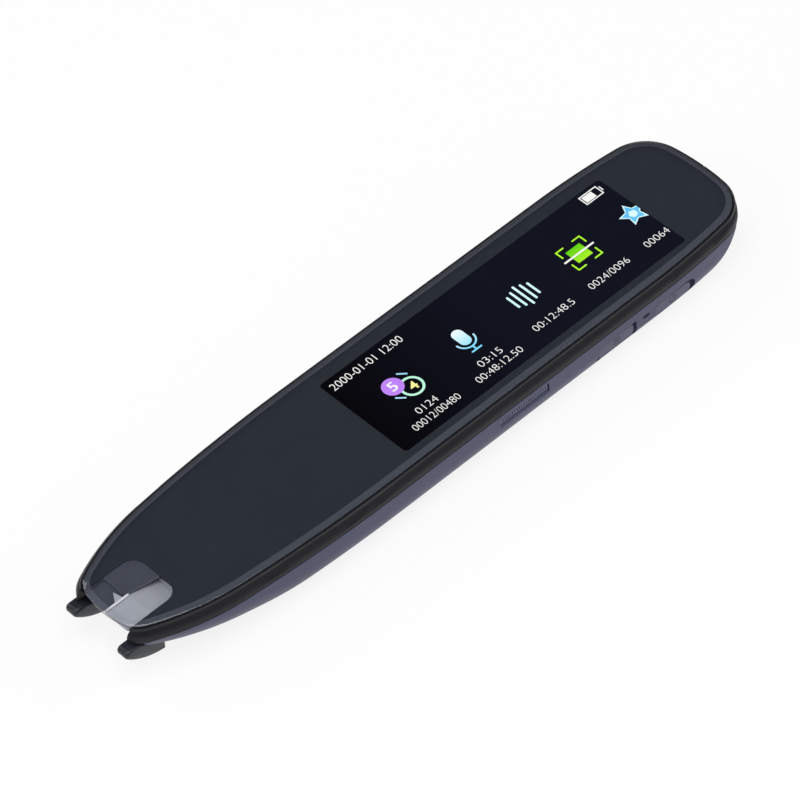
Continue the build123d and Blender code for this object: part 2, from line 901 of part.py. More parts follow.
def frame_screws():
    screws = []
    for x_place, y_place in screw_places():
        head = Pos(0, 0, -screw_head_height / 2) * Cylinder(screw_head_radius, screw_head_height)
        shank = Pos(0, 0, screw_length / 2) * Cylinder(screw_radius, screw_length)
        slot_depth = screw_head_height / 2
        slot = Box(screw_head_radius, screw_cross_width, slot_depth)
        slot += Box(screw_cross_width, screw_head_radius, slot_depth)
        screw = head + shank - Pos(0, 0, slot_depth / 2 - screw_head_height) * slot
        screws.append(Pos(x_place, y_place, board_bottom) * screw)
    return Compound(children=screws)


def board_chips():
    middle = (board_tip + board_tail) / 2
    half = chip_side / 2
    chip_top = board_top + chip_thickness
    chips = [middle_block(middle - half, middle + half, chip_side, board_top, chip_top)]
    for side in (-1, 1):
        x_place = middle + side * chip_side
        reach = half - chip_gap
        low = board_bottom - chip_thickness
        chips.append(middle_block(x_place - reach, x_place + reach, chip_side, low, board_bottom))
    return Compound(children=chips)


def shield_can():
    middle = (board_tip + board_tail) / 2
    reach = can_length / 2
    side = can_width / 2
    top = board_top + can_height
    can = rounded_plate(middle - reach, middle + reach, -side, side, board_top, top, can_round)
    reach -= can_wall
    side -= can_wall
    top -= can_wall
    return can - rounded_plate(middle - reach, middle + reach, -side, side, 0, top, can_round)


def board_connectors():
    low = board_top
    high = board_top + connector_height
    display_end = board_tail - screw_tail_inset + 2 * connector_length
    display_start = display_end - connector_length
    camera_start = board_tip + connector_length
    camera_end = camera_start + connector_length
    battery_start = board_tip + connector_length / 2
    battery_low = lead_side - battery_connector_width / 2
    battery_high = battery_low + battery_connector_width
    parts = [
        middle_block(display_start, display_end, display_connector_width, low, high),
        middle_block(camera_start, camera_end, camera_connector_width, low, high),
        block(battery_start, battery_start + connector_length, battery_low, battery_high, low, high),
    ]
    return Compound(children=parts)


def button_switches():
    switches = []
    inner_face = pad_inner + flange_lift + flange_thickness
    tip = inner_face + button_travel + seat_gap
    front = tip + plunger_length
    for side in (-1, 1):
        x_place = button_middle(side)
        body = block(
            x_place - switch_length / 2, x_place + switch_length / 2,
            front, front + switch_depth, board_bottom - switch_height, board_bottom,
        )
        pin = Cylinder(plunger_radius, plunger_length, rotation=(90, 0, 0))
        body += Pos(x_place, tip + plunger_length / 2, recess_level) * pin
        switches.append(body)
    return Compound(children=switches)


def button(side):
    face_y = recess_floor - button_proud
    inner = pad_inner + flange_lift
    cap = stadium(button_length, button_height, face_y, inner)
    cap = fillet(cap.faces().sort_by(Axis.Y)[0].edges(), button_round)
    flange_length = button_length + 2 * flange_margin
    flange_height = button_height + 2 * flange_margin
    cap += stadium(flange_length, flange_height, inner, inner + flange_thickness)
    return Pos(button_middle(side), 0, recess_level) * cap


def power_button():
    return button(1)


def menu_button():
    return button(-1)


def microphone():
    y_low = -board_width / 2 - microphone_reach
    y_high = y_low + microphone_width
    x_low = recess_middle - microphone_length / 2
    x_high = x_low + microphone_length
    return block(x_low, x_high, y_low, y_high, board_bottom - microphone_height, board_bottom)


def antenna_sheet():
    low = housing_wall + seat_gap
    high = low + flex_thickness
    start = board_tip
    end = start + antenna_length
    sheet = middle_block(start, end, antenna_width, low, high)
    for share in antenna_slot_shares:
        y_low = antenna_width * (share - 0.5)
        y_high = y_low + antenna_gap_width
        sheet -= block(start + antenna_gap_width, end, y_low, y_high, 0, high)
    return sheet


def port_shell():
    outer = Plane.YZ * SlotOverall(port_shell_width, port_shell_height)
    inner_width = port_shell_width - 2 * port_wall
    inner_height = port_shell_height - 2 * port_wall
    inner = Plane.YZ * SlotOverall(inner_width, inner_height)
    tube = extrude(outer, amount=port_length) - extrude(inner, amount=port_length)
    return Pos(port_front - port_length, 0, port_level) * tube


def port_tongue():
    plug_width = port_shell_width - 2 * port_wall - 2 * seat_gap
    plug_height = port_shell_height - 2 * port_wall - 2 * seat_gap
    face = Plane.YZ * SlotOverall(plug_width, plug_height)
    back = port_front - port_length
    plug = Pos(back, 0, port_level) * extrude(face, amount=port_back_length)
    low = port_level - tongue_thickness / 2
    front = port_front - tongue_setback
    return plug + middle_block(back, front, tongue_width, low, low + tongue_thickness)


def slanted_x(level):
    # The scan mouth leans back as it goes down.
    return chamber_front + (chamber_top - level) * slant_share


def scan_chamber():
    wall = chamber_wall
    chamber_back = chamber_front + chamber_length
    duct_back = chamber_front + duct_length
    upper_points = [
        (slanted_x(chamber_step), chamber_step),
        (chamber_back, chamber_step),
        (chamber_back, chamber_top),
        (chamber_front, chamber_top),
    ]
    lower_points = [
        (slanted_x(chamber_floor), chamber_floor),
        (duct_back, chamber_floor),
        (duct_back, chamber_step),
        (slanted_x(chamber_step), chamber_step),
    ]
    chamber = side_plate(upper_points, -chamber_half_width, chamber_half_width)
    chamber += side_plate(lower_points, -nose_half_width, nose_half_width)
    upper_inner = chamber_half_width - wall
    duct_width = 2 * (nose_half_width - wall)
    duct_low = chamber_floor + wall
    front = tip_end - cut_overrun
    room_back = chamber_back - wall
    room_low = chamber_step + wall
    roof_high = glass_top - roof_drop
    roof_low = roof_high - roof_thickness
    led_width = led_window_half_width * 2
    cutters = [
        middle_block(front, duct_back + wall, duct_width, duct_low, chamber_step - wall),
        middle_block(front, room_back, duct_width, duct_low, room_low),
        block(front, room_back, -upper_inner, roof_side, room_low, glass_top),
        block(front, room_back, roof_side, upper_inner, room_low, roof_low),
        block(front, room_back, roof_side, upper_inner, roof_high, glass_top),
        middle_block(room_back - wall, chamber_back + wall, led_width, room_low, roof_low),
    ]
    for cutter in cutters:
        chamber -= cutter
    return chamber & slab(glass_inset + skirt_gap, 0, glass_top)


def diffuser_plate():
    top = glass_top - diffuser_top_drop
    front = tip_end + diffuser_setback
    flat_end = front + diffuser_flat_length
    back = chamber_front + chamber_length - chamber_wall - seat_gap
    slope_top = top - diffuser_slope_drop
    thick = diffuser_thickness
    points = [
        (front, top),
        (flat_end, top),
        (back, slope_top),
        (back, slope_top - thick),
        (flat_end, top - thick),
        (front, top - thick),
    ]
    near = diffuser_side_gap + chamber_wall - chamber_half_width
    far = -strip_offset
    plate = side_plate(points, near, far)
    plate += block(front, flat_end, far - strip_width, far, top - thick, top + strip_rise)
    gusset_front = tip_end + gusset_setback
    gusset_low = glass_top - roof_drop + seat_gap
    corners = [
        (gusset_front, far),
        (gusset_front + gusset_base, far),
        (gusset_front + gusset_base * 3 / 4, far + gusset_height),
    ]
    face = make_face(Polyline(corners, close=True))
    plate += Pos(0, 0, gusset_low) * extrude(face, amount=gusset_thickness)
    return plate & slab(glass_inset + skirt_gap, 0, glass_top)


def scan_window():
    low = chamber_floor + chamber_wall + seat_gap
    high = glass_top - roof_drop - roof_thickness - seat_gap
    side = nose_half_width - chamber_wall - seat_gap
    start = scan_glass_setback
    end = scan_glass_setback + scan_glass_thickness
    points = [
        (slanted_x(low) + start, low),
        (slanted_x(low) + end, low),
        (slanted_x(high) + end, high),
        (slanted_x(high) + start, high),
    ]
    return side_plate(points, -side, side)


def led_board():
    start = tip_end + led_board_back
    low = chamber_step + seat_gap
    end = start + led_board_thickness
    return middle_block(start, end, led_board_half_width * 2, low, low + led_board_height)


def leds():
    end = tip_end + led_board_back
    level = chamber_step + seat_gap + led_board_height / 2
    start = end - led_height
    lamps = []
    for side in (-1, 1):
        y_low = side * led_spread - led_size / 2
        z_low = level - led_size / 2
        lamps.append(block(start, end, y_low, y_low + led_size, z_low, z_low + led_size))
    return Compound(children=lamps)


def scan_camera():
    front = tip_end + camera_back
    level = glass_top - camera_drop
    half = camera_side / 2
    body = middle_block(front, front + camera_depth, camera_side, level - half, level + half)
    barrel = Cylinder(barrel_radius, barrel_length, rotation=(0, 90, 0))
    body += Pos(front - barrel_length / 2, 0, level) * barrel
    bore = Cylinder(barrel_bore_radius, lens_thickness * 2, rotation=(0, 90, 0))
    return body - Pos(front - barrel_length, 0, level) * bore


def camera_lens():
    front = tip_end + camera_back - barrel_length
    level = glass_top - camera_drop
    lens = Cylinder(lens_radius, lens_thickness, rotation=(0, 90, 0))
    return Pos(front + lens_thickness / 2, 0, level) * lens


def camera_flex():
    start_x = tip_end + camera_back + camera_depth + flex_thickness / 2
    start_level = glass_top - camera_drop
    level = tray_bottom - camera_flex_clear - flex_thickness / 2
    end_x = board_tip + connector_length * 2
    points = [(start_x, start_level), (start_x, level), (end_x, level)]
    return strip(points, camera_flex_width)


def scan_foot(side):
    # A flat fin, rounded at the nose and along its top, whose belly curves down and back
    # from the nose to the heel.
    nose = -half_length
    top = glass_top - foot_top_drop
    nose_level = top - foot_nose_round
    nose_top = nose + foot_nose_round
    heel = nose + foot_heel_back + foot_reach
    lean = radians(foot_belly_angle)
    chin = (nose_top - foot_nose_round * sin(lean), nose_level - foot_nose_round * cos(lean))
    belly = Spline(
        chin,
        (nose + foot_shoulder_back, top - foot_shoulder_fall),
        (nose + foot_belly_back, top - foot_belly_fall),
        (heel, top - foot_heel_fall),
        tangents=[(cos(lean), -sin(lean)), (1, 0)],
    )
    lines = [
        belly,
        Line((heel, top - foot_heel_fall), (heel, top)),
        Line((heel, top), (nose_top, top)),
        ThreePointArc((nose_top, top), (nose, nose_level), chin),
    ]
    face = Plane.XZ * make_face(Curve() + lines)
    fin = extrude(face, amount=foot_thickness / 2, both=True)
    heel_reach = heel + 2 * foot_plan_round
    plan = RectangleRounded(heel_reach - nose, foot_thickness, foot_plan_round)
    fin &= Pos((heel_reach + nose) / 2, 0, 0) * extrude(plan, amount=glass_top)
    top_face = fin.faces().filter_by(Axis.Z).sort_by(Axis.Z)[-1]
    heel_x = heel - seat_gap
    edges = [edge for edge in top_face.edges() if edge.center().X < heel_x]
    fin = fillet(edges, foot_edge_round)
    rail_low = glass_top - rail_top_drop - rail_height
    rail_high = glass_top - rail_top_drop
    rail = middle_block(heel - slide_gap, carrier_front, rail_thickness, rail_low, rail_high)
    return Pos(0, side * foot_spacing / 2, 0) * (fin + rail)


def scan_foot_far():
    return scan_foot(1)


def scan_foot_near():
    return scan_foot(-1)


def foot_carrier():
    end = carrier_front + carrier_length
    low = glass_top - carrier_low_drop
    high = glass_top - rail_top_drop
    bar = middle_block(carrier_front, end, foot_spacing + rail_thickness, low, high)
    for side in (-1, 1):
        pin = Cylinder(spring_pin_radius, spring_pin_length, rotation=(0, 90, 0))
        bar += Pos(end + spring_pin_length / 2, side * spring_spread, spring_level) * pin
    return bar


def foot_springs():
    start = carrier_front + carrier_length + spring_wire_radius
    length = spring_wall - spring_wire_radius - start
    springs = []
    for side in (-1, 1):
        path = Helix(length / spring_turns, length, spring_radius - spring_wire_radius)
        wire = Plane(origin=path @ 0, z_dir=path % 0) * Circle(spring_wire_radius)
        coil = Rot(0, 90, 0) * sweep(wire, path=path)
        springs.append(Pos(start, side * spring_spread, spring_level) * coil)
    return Compound(children=springs)


def trigger_switch():
    end = spring_wall - seat_gap
    start = end - trigger_length
    low = spring_level - trigger_height / 2
    body = middle_block(start, end, trigger_width, low, low + trigger_height)
    tip = carrier_front + carrier_length + foot_travel + seat_gap
    pin = Cylinder(trigger_plunger_radius, start - tip, rotation=(0, 90, 0))
    return body + Pos((start + tip) / 2, 0, spring_level) * pin


pieces = [
    cover_glass, glass_print, glass_adhesive, display_panel, display_flex,
    middle_frame, rear_housing, speaker_grille, speaker_box, speaker_cone,
    battery, battery_cap, battery_leads, main_board, frame_screws,
    board_chips, shield_can, board_connectors, button_switches, power_button,
    menu_button, microphone, antenna_sheet, port_shell, port_tongue,
    scan_chamber, diffuser_plate, scan_window, led_board, leds,
    scan_camera, camera_lens, camera_flex, scan_foot_far, scan_foot_near,
    foot_carrier, foot_springs, trigger_switch,
]

os.makedirs("parts", exist_ok=True)
for make_piece in pieces:
    name = make_piece.__name__
    export_step(make_piece(), f"parts/{name}.step")
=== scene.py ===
from math import asin, atan2, cos, hypot, pi, radians, sin

import bmesh
import bpy
from mathutils import Matrix, Vector


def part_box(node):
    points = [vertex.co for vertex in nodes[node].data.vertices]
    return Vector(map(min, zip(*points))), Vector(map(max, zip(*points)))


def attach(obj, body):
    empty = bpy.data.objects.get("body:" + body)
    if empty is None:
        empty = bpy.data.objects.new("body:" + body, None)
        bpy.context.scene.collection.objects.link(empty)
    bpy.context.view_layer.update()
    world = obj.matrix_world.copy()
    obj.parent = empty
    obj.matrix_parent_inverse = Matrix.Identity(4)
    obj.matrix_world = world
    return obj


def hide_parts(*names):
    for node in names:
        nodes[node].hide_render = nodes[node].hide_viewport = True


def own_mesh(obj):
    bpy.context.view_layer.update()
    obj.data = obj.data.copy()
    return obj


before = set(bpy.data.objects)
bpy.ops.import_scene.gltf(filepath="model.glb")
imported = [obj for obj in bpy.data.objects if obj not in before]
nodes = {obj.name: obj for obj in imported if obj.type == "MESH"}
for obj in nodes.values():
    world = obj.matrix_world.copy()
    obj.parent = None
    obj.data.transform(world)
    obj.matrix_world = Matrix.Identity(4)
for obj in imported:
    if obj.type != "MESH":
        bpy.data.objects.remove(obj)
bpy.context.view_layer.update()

scene = bpy.context.scene
mm = 0.001

# Camera: a long lens looks down on the tip and the near side, with the body running up
# and away to the right. It aims at the point of the glass in the middle of the picture.
camera_place = Vector((-356.71, -412.07, 616.09)) * mm
camera_aim = Vector((-4.81, -2.36, 12.3)) * mm
camera_roll = radians(-4.2415)
lens_share = 5.625
sensor_width = 36.0

camera_data = bpy.data.cameras.new("camera")
camera_data.sensor_width = sensor_width
camera_data.lens = sensor_width * lens_share
camera_data.clip_start = 10 * mm
camera_data.clip_end = 10000 * mm
camera = bpy.data.objects.new("camera", camera_data)
scene.collection.objects.link(camera)
looking = (camera_aim - camera_place).to_track_quat("-Z", "Y")
turned = looking.to_matrix().to_4x4() @ Matrix.Rotation(camera_roll, 4, "Z")
camera.matrix_world = Matrix.Translation(camera_place) @ turned
scene.camera = camera


# Table and light: a wide matt white sheet under the pen, a dim pale room and four large soft
# lamps. The lamps stand clear of the line that the flat glass mirrors to the camera.
table_size = 6000 * mm
room_strength = 0.12
white_share = 0.85
mirror_dim = 0.15
lamps = {
    "overhead_lamp": ((-0.3, -0.3, 1.8), 1.5, 1.5, 24),
    "near_lamp": ((0.5, -1.5, 0.8), 1.8, 0.8, 5),
    "tip_lamp": ((-1.7, 0.2, 0.9), 1.2, 0.8, 9),
    "far_lamp": ((-0.5, 1.7, 1.3), 1.4, 0.8, 9),
    "tail_lamp": ((1.9, -0.7, 1.0), 1.0, 0.8, 7),
}


def linear(shade):
    parts = [int(shade[start:start + 2], 16) / 255 for start in (1, 3, 5)]
    low = [part / 12.92 for part in parts]
    high = [((part + 0.055) / 1.055) ** 2.4 for part in parts]
    return (*[h if part > 0.04045 else l for part, l, h in zip(parts, low, high)], 1.0)


def add(tree, kind, inputs=None, **settings):
    # One node with its settings. An input takes a value or another node's output.
    node = tree.nodes.new(kind)
    for name, value in settings.items():
        setattr(node, name, value)
    for name, value in (inputs or {}).items():
        if isinstance(value, bpy.types.NodeSocket):
            tree.links.new(value, node.inputs[name])
        else:
            node.inputs[name].default_value = value
    return node


def new_finish(name):
    # An empty material: its tree, and the object's own coordinates in metres.
    made = bpy.data.materials.new(name)
    made.use_nodes = True
    made.node_tree.nodes.clear()
    place = add(made.node_tree, "ShaderNodeTexCoord").outputs["Object"]
    return made, made.node_tree, place


def show(tree, shader):
    add(tree, "ShaderNodeOutputMaterial", {"Surface": shader.outputs[0]})


def finished(bm, name, *finishes):
    # The bmesh as an object at the origin with its finishes in its slots.
    mesh = bpy.data.meshes.new(name)
    bm.to_mesh(mesh)
    bm.free()
    piece = bpy.data.objects.new(name, mesh)
    scene.collection.objects.link(piece)
    for finish in finishes:
        mesh.materials.append(finish)
    return piece


table_white, tree, place = new_finish("white_paper_table")
paper = add(tree, "ShaderNodeBsdfDiffuse", {"Color": linear("#FAFAFA")})
white = add(tree, "ShaderNodeEmission", {"Color": linear("#FFFFFF"), "Strength": 1.0})
rays = add(tree, "ShaderNodeLightPath")
seen = add(tree, "ShaderNodeMath", {
    0: rays.outputs["Is Camera Ray"], 1: rays.outputs["Is Glossy Ray"],
}, operation="MAXIMUM")
seen_or_through = add(tree, "ShaderNodeMath", {
    0: seen.outputs[0], 1: rays.outputs["Is Transmission Ray"],
}, operation="MAXIMUM")
white_part = add(tree, "ShaderNodeMath", {
    0: seen_or_through.outputs[0], 1: white_share,
}, operation="MULTIPLY")
show(tree, add(tree, "ShaderNodeMixShader", {
    "Fac": white_part.outputs[0], 1: paper.outputs[0], 2: white.outputs[0],
}))
bm = bmesh.new()
bmesh.ops.create_grid(bm, x_segments=1, y_segments=1, size=table_size / 2)
table = finished(bm, "table", table_white)

world = bpy.data.worlds.new("pale_room")
world.use_nodes = True
world.node_tree.nodes.clear()
# The part of the room that the flat glass mirrors to the camera is darker, as over a flag.
mirrored = Vector((-camera_place.x, -camera_place.y, camera_place.z)).normalized()
ray = add(world.node_tree, "ShaderNodeTexCoord").outputs["Generated"]
toward = add(world.node_tree, "ShaderNodeVectorMath", {0: ray, 1: mirrored}, operation="DOT_PRODUCT")
room_light = add(world.node_tree, "ShaderNodeMapRange", {
    "Value": toward.outputs["Value"], "From Min": cos(radians(30)), "From Max": cos(radians(14)),
    "To Min": room_strength, "To Max": room_strength * mirror_dim,
})
room = add(world.node_tree, "ShaderNodeBackground", {
    "Color": linear("#FFFFFF"), "Strength": room_light.outputs["Result"],
})
add(world.node_tree, "ShaderNodeOutputWorld", {"Surface": room.outputs[0]})
scene.world = world
scene.view_settings.view_transform = "Standard"

for name, (lamp_place, width, height, power) in lamps.items():
    data = bpy.data.lights.new(name, "AREA")
    data.shape = "RECTANGLE"
    data.size = width
    data.size_y = height
    data.energy = power
    lamp = bpy.data.objects.new(name, data)
    lamp.location = lamp_place
    lamp.rotation_mode = "QUATERNION"
    lamp.rotation_quaternion = (-Vector(lamp_place)).to_track_quat("-Z", "Y")
    scene.collection.objects.link(lamp)


# Rear housing: one deep shell of dyed ABS and polycarbonate, moulded in a spark-eroded
# tool that leaves a fine satin grain. It carries the other pieces and holds the frame's skirt.
def moulded(name, shade, pale_shade, roughness, grain, grain_height, edge_radius=0.0, shine=0.5):
    # Moulded plastic: cloudy dye, a grain of the tool's pitch, and softly rounded edges.
    made, tree, place = new_finish(name)
    cloud = add(tree, "ShaderNodeTexNoise", {
        "Vector": place, "Scale": 1 / (14 * mm), "Detail": 4.0,
    })
    tone = add(tree, "ShaderNodeMix", {
        "Factor": cloud.outputs["Fac"], 6: linear(shade), 7: linear(pale_shade),
    }, data_type="RGBA")
    pits = add(tree, "ShaderNodeTexNoise", {"Vector": place, "Scale": 1 / grain, "Detail": 2.0})
    gloss = add(tree, "ShaderNodeMapRange", {
        "Value": pits.outputs["Fac"], "To Min": roughness - 0.06, "To Max": roughness + 0.08,
    })
    bump = add(tree, "ShaderNodeBump", {
        "Height": pits.outputs["Fac"], "Distance": grain_height, "Strength": 0.6,
    })
    if edge_radius:
        rounded = add(tree, "ShaderNodeBevel", {"Radius": edge_radius}, samples=4)
        tree.links.new(rounded.outputs["Normal"], bump.inputs["Normal"])
    show(tree, add(tree, "ShaderNodeBsdfPrincipled", {
        "Base Color": tone.outputs[2], "Roughness": gloss.outputs["Result"],
        "Normal": bump.outputs["Normal"], "IOR": 1.53, "Specular IOR Level": shine,
    }))
    return made


def dress(finish, *names):
    # CAD nodes keep their meshes and take the finish.
    for name in names:
        for slot in nodes[name].material_slots:
            slot.material = finish


housing_slate = moulded(
    "satin_slate_abs", "#434560", "#494B67", 0.42, 0.16 * mm, 0.003 * mm, 0.1 * mm, 0.3,
)
dress(housing_slate, "rear_housing")

# Antenna: a black coated flexible circuit stuck to the floor of the housing.
antenna_film = moulded("black_coated_film", "#101012", "#18181B", 0.38, 0.5 * mm, 0.002 * mm)
dress(antenna_film, "antenna_sheet")

# Battery: a lithium polymer pouch of aluminium laminate, with its protection board folded
# into amber polyimide tape and two silicone leads to the main board.
made, tree, place = new_finish("laminated_foil_pouch")
crinkle = add(tree, "ShaderNodeTexNoise", {
    "Vector": place, "Scale": 1 / (3 * mm), "Detail": 5.0, "Distortion": 0.6,
})
foil_bump = add(tree, "ShaderNodeBump", {
    "Height": crinkle.outputs["Fac"], "Distance": 0.05 * mm, "Strength": 0.5,
})
foil_gloss = add(tree, "ShaderNodeMapRange", {
    "Value": crinkle.outputs["Fac"], "To Min": 0.3, "To Max": 0.45,
})
show(tree, add(tree, "ShaderNodeBsdfPrincipled", {
    "Base Color": linear("#B4B7BC"), "Metallic": 0.85, "Roughness": foil_gloss.outputs["Result"],
    "Normal": foil_bump.outputs["Normal"],
}))
dress(made, "battery")
cap_tape = moulded("amber_polyimide_tape", "#9A5E14", "#B4741E", 0.3, 1.2 * mm, 0.02 * mm)
dress(cap_tape, "battery_cap")

lead_middle = (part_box("battery_leads")[0].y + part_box("battery_leads")[1].y) / 2
made, tree, place = new_finish("silicone_lead_cover")
lead_axes = add(tree, "ShaderNodeSeparateXYZ", {"Vector": place})
far_lead = add(tree, "ShaderNodeMath", {0: lead_axes.outputs["Y"], 1: lead_middle}, operation="GREATER_THAN")
lead_dust = add(tree, "ShaderNodeTexNoise", {"Vector": place, "Scale": 1 / (1 * mm), "Detail": 3.0})
lead_tone = add(tree, "ShaderNodeMix", {
    "Factor": far_lead.outputs[0], 6: linear("#1A1A1A"), 7: linear("#B01E1E"),
}, data_type="RGBA")
lead_gloss = add(tree, "ShaderNodeMapRange", {
    "Value": lead_dust.outputs["Fac"], "To Min": 0.4, "To Max": 0.6,
})
show(tree, add(tree, "ShaderNodeBsdfPrincipled", {
    "Base Color": lead_tone.outputs[2], "Roughness": lead_gloss.outputs["Result"], "IOR": 1.41,
}))
dress(made, "battery_leads")

# Speaker: a closed box of black ABS with a duct to the near side, and a coated paper cone.
inner_black = moulded("matt_black_abs", "#161618", "#202023", 0.6, 0.2 * mm, 0.006 * mm)
dress(inner_black, "speaker_box", "scan_camera")
cone_grey = moulded("coated_paper_cone", "#46474A", "#525357", 0.75, 0.25 * mm, 0.012 * mm)
dress(cone_grey, "speaker_cone")

# Main board: glass epoxy under green solder mask with fine tracks. It carries black epoxy
# chips, a tin-plated screening can, ivory connectors, steel switches and the microphone.
track_pitch = 0.9 * mm
made, tree, place = new_finish("green_solder_mask")
tracks = add(tree, "ShaderNodeTexBrick", {
    "Vector": place, "Color1": linear("#0C4A2A"), "Color2": linear("#0E5430"),
    "Mortar": linear("#1F7A48"), "Scale": 1.0, "Mortar Size": 0.1 * mm, "Bias": 0.0,
    "Brick Width": track_pitch * 5, "Row Height": track_pitch,
})
track_bump = add(tree, "ShaderNodeBump", {
    "Height": tracks.outputs["Fac"], "Distance": 0.02 * mm, "Strength": 0.6,
})
show(tree, add(tree, "ShaderNodeBsdfPrincipled", {
    "Base Color": tracks.outputs["Color"], "Roughness": 0.35, "IOR": 1.55,
    "Normal": track_bump.outputs["Normal"],
}))
dress(made, "main_board")
chip_black = moulded("black_epoxy_moulding", "#1C1C1E", "#28282B", 0.55, 0.1 * mm, 0.004 * mm)
dress(chip_black, "board_chips")
connector_ivory = moulded("ivory_crystal_polymer", "#CFC8B4", "#D8D2C0", 0.5, 0.2 * mm, 0.003 * mm)
dress(connector_ivory, "board_connectors")


def brushed(name, shade, roughness, line_pitch, stretch=12.0):
    # Rolled or brushed sheet metal: fine lines along the body, with a roughness of their own.
    made, tree, place = new_finish(name)
    drawn = add(tree, "ShaderNodeMapping", {"Vector": place, "Scale": (1 / stretch, 1.0, 1.0)})
    lines = add(tree, "ShaderNodeTexNoise", {
        "Vector": drawn.outputs[0], "Scale": 1 / line_pitch, "Detail": 3.0,
    })
    gloss = add(tree, "ShaderNodeMapRange", {
        "Value": lines.outputs["Fac"], "To Min": roughness - 0.08, "To Max": roughness + 0.1,
    })
    bump = add(tree, "ShaderNodeBump", {
        "Height": lines.outputs["Fac"], "Distance": 0.004 * mm, "Strength": 0.4,
    })
    show(tree, add(tree, "ShaderNodeBsdfPrincipled", {
        "Base Color": linear(shade), "Metallic": 1.0, "Roughness": gloss.outputs["Result"],
        "Normal": bump.outputs["Normal"],
    }))
    return made


can_tin = brushed("tin_plated_steel", "#B9BAB4", 0.36, 0.12 * mm)
dress(can_tin, "shield_can")
switch_metal = brushed("stainless_spring_sheet", "#A9AAAC", 0.3, 0.08 * mm)
dress(switch_metal, "button_switches", "microphone", "trigger_switch")

# Charging port: a deep-drawn stainless shell round a black tongue, whose gold-flashed
# contacts lie in two rows, one on each face.
port_steel = brushed("drawn_stainless_shell", "#B4B6BA", 0.24, 0.08 * mm)
dress(port_steel, "port_shell")
tongue_black = moulded("black_crystal_polymer", "#151517", "#1D1D20", 0.45, 0.1 * mm, 0.003 * mm)
dress(tongue_black, "port_tongue")
contact_count = 12
contact_pitch = 0.5 * mm
contact_width = 0.26 * mm
contact_length = 3.2 * mm
contact_rise = 0.03 * mm
tongue_low, tongue_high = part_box("port_tongue")
tongue_level = (tongue_low.z + tongue_high.z) / 2
tongue_half = 0.35 * mm
contact_end = tongue_high.x - 0.5 * mm
port_gold = brushed("gold_flashed_contact", "#D9A441", 0.25, 0.1 * mm)
bm = bmesh.new()
for side in (-1, 1):
    for index in range(contact_count):
        strip = bmesh.ops.create_cube(bm, size=1.0)["verts"]
        bmesh.ops.scale(bm, vec=(contact_length, contact_width, contact_rise * 2), verts=strip)
        bmesh.ops.translate(bm, verts=strip, vec=(
            contact_end - contact_length / 2,
            (index - (contact_count - 1) / 2) * contact_pitch,
            tongue_level + side * tongue_half,
        ))
bmesh.ops.bevel(
    bm, geom=bm.edges[:], offset=contact_rise / 2, offset_type="OFFSET", segments=1,
    profile=0.5, affect="EDGES", material=-1,
)
contacts = finished(bm, "port_contacts", port_gold)
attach(contacts, "pen_body")

# Sound slot bar: a strip of the housing's plastic pressed in on the near side.
grille_slate = moulded(
    "ribbed_slate_abs", "#525570", "#585B76", 0.4, 0.12 * mm, 0.003 * mm, 0.06 * mm, 0.35,
)
dress(grille_slate, "speaker_grille")

# Side buttons: two caps of the same plastic, a little smoother than the shell round them.
button_slate = moulded(
    "smooth_slate_abs", "#4C4F69", "#52556F", 0.34, 0.12 * mm, 0.002 * mm, 0.1 * mm, 0.35,
)
dress(button_slate, "power_button", "menu_button")


# Scan head: a smoke-tinted polycarbonate chamber in the tip with a frosted plate that
# spreads the light, a clear slanted window, a white lamp board and a camera looking out.
def tinted(name, shade, roughness, ior, transmission, cloud_size, pale_shade):
    # Clear or tinted plastic with faint flow clouds from moulding.
    made, tree, place = new_finish(name)
    cloud = add(tree, "ShaderNodeTexNoise", {"Vector": place, "Scale": 1 / cloud_size, "Detail": 3.0})
    tone = add(tree, "ShaderNodeMix", {
        "Factor": cloud.outputs["Fac"], 6: linear(shade), 7: linear(pale_shade),
    }, data_type="RGBA")
    body = add(tree, "ShaderNodeBsdfPrincipled", {
        "Base Color": tone.outputs[2], "Roughness": roughness, "IOR": ior,
        "Transmission Weight": transmission,
    })
    if transmission < 0.9:
        show(tree, body)
        return made
    rays = add(tree, "ShaderNodeLightPath")
    gap = add(tree, "ShaderNodeBsdfTransparent")
    show(tree, add(tree, "ShaderNodeMixShader", {
        "Fac": rays.outputs["Is Shadow Ray"], 1: body.outputs[0], 2: gap.outputs[0],
    }))
    return made


chamber_smoke = tinted("smoked_polycarbonate", "#4A4E5B", 0.22, 1.58, 0.25, 4 * mm, "#565A68")
dress(chamber_smoke, "scan_chamber")
diffuser_grey = tinted("frosted_acrylic", "#B4B8C4", 0.45, 1.49, 0.35, 3 * mm, "#C8CCD6")
dress(diffuser_grey, "diffuser_plate")
window_clear = tinted("clear_acrylic_pane", "#F2F4F6", 0.02, 1.49, 1.0, 5 * mm, "#FFFFFF")
dress(window_clear, "scan_window")
board_white = moulded("white_solder_mask", "#D8D9DA", "#E4E5E6", 0.4, 0.3 * mm, 0.003 * mm)
dress(board_white, "led_board")
led_amber = moulded("phosphor_gel", "#D9B54A", "#E8C865", 0.3, 0.4 * mm, 0.002 * mm)
dress(led_amber, "leds")
lens_glass = moulded("coated_lens_glass", "#0A0B14", "#10121E", 0.12, 1.0 * mm, 0.0004 * mm)
dress(lens_glass, "camera_lens")
flex_amber = moulded("polyimide_flat_cable", "#8A4E12", "#A0621A", 0.35, 0.4 * mm, 0.004 * mm)
dress(flex_amber, "camera_flex", "display_flex")

# Feet: two black acetal fins under the tip, each moulded with a raised nose and a rail to the
# carrier behind. Two steel coil springs push them forward, and the trigger switch feels them.
def bearing(run):
    return atan2(run.y, run.x)


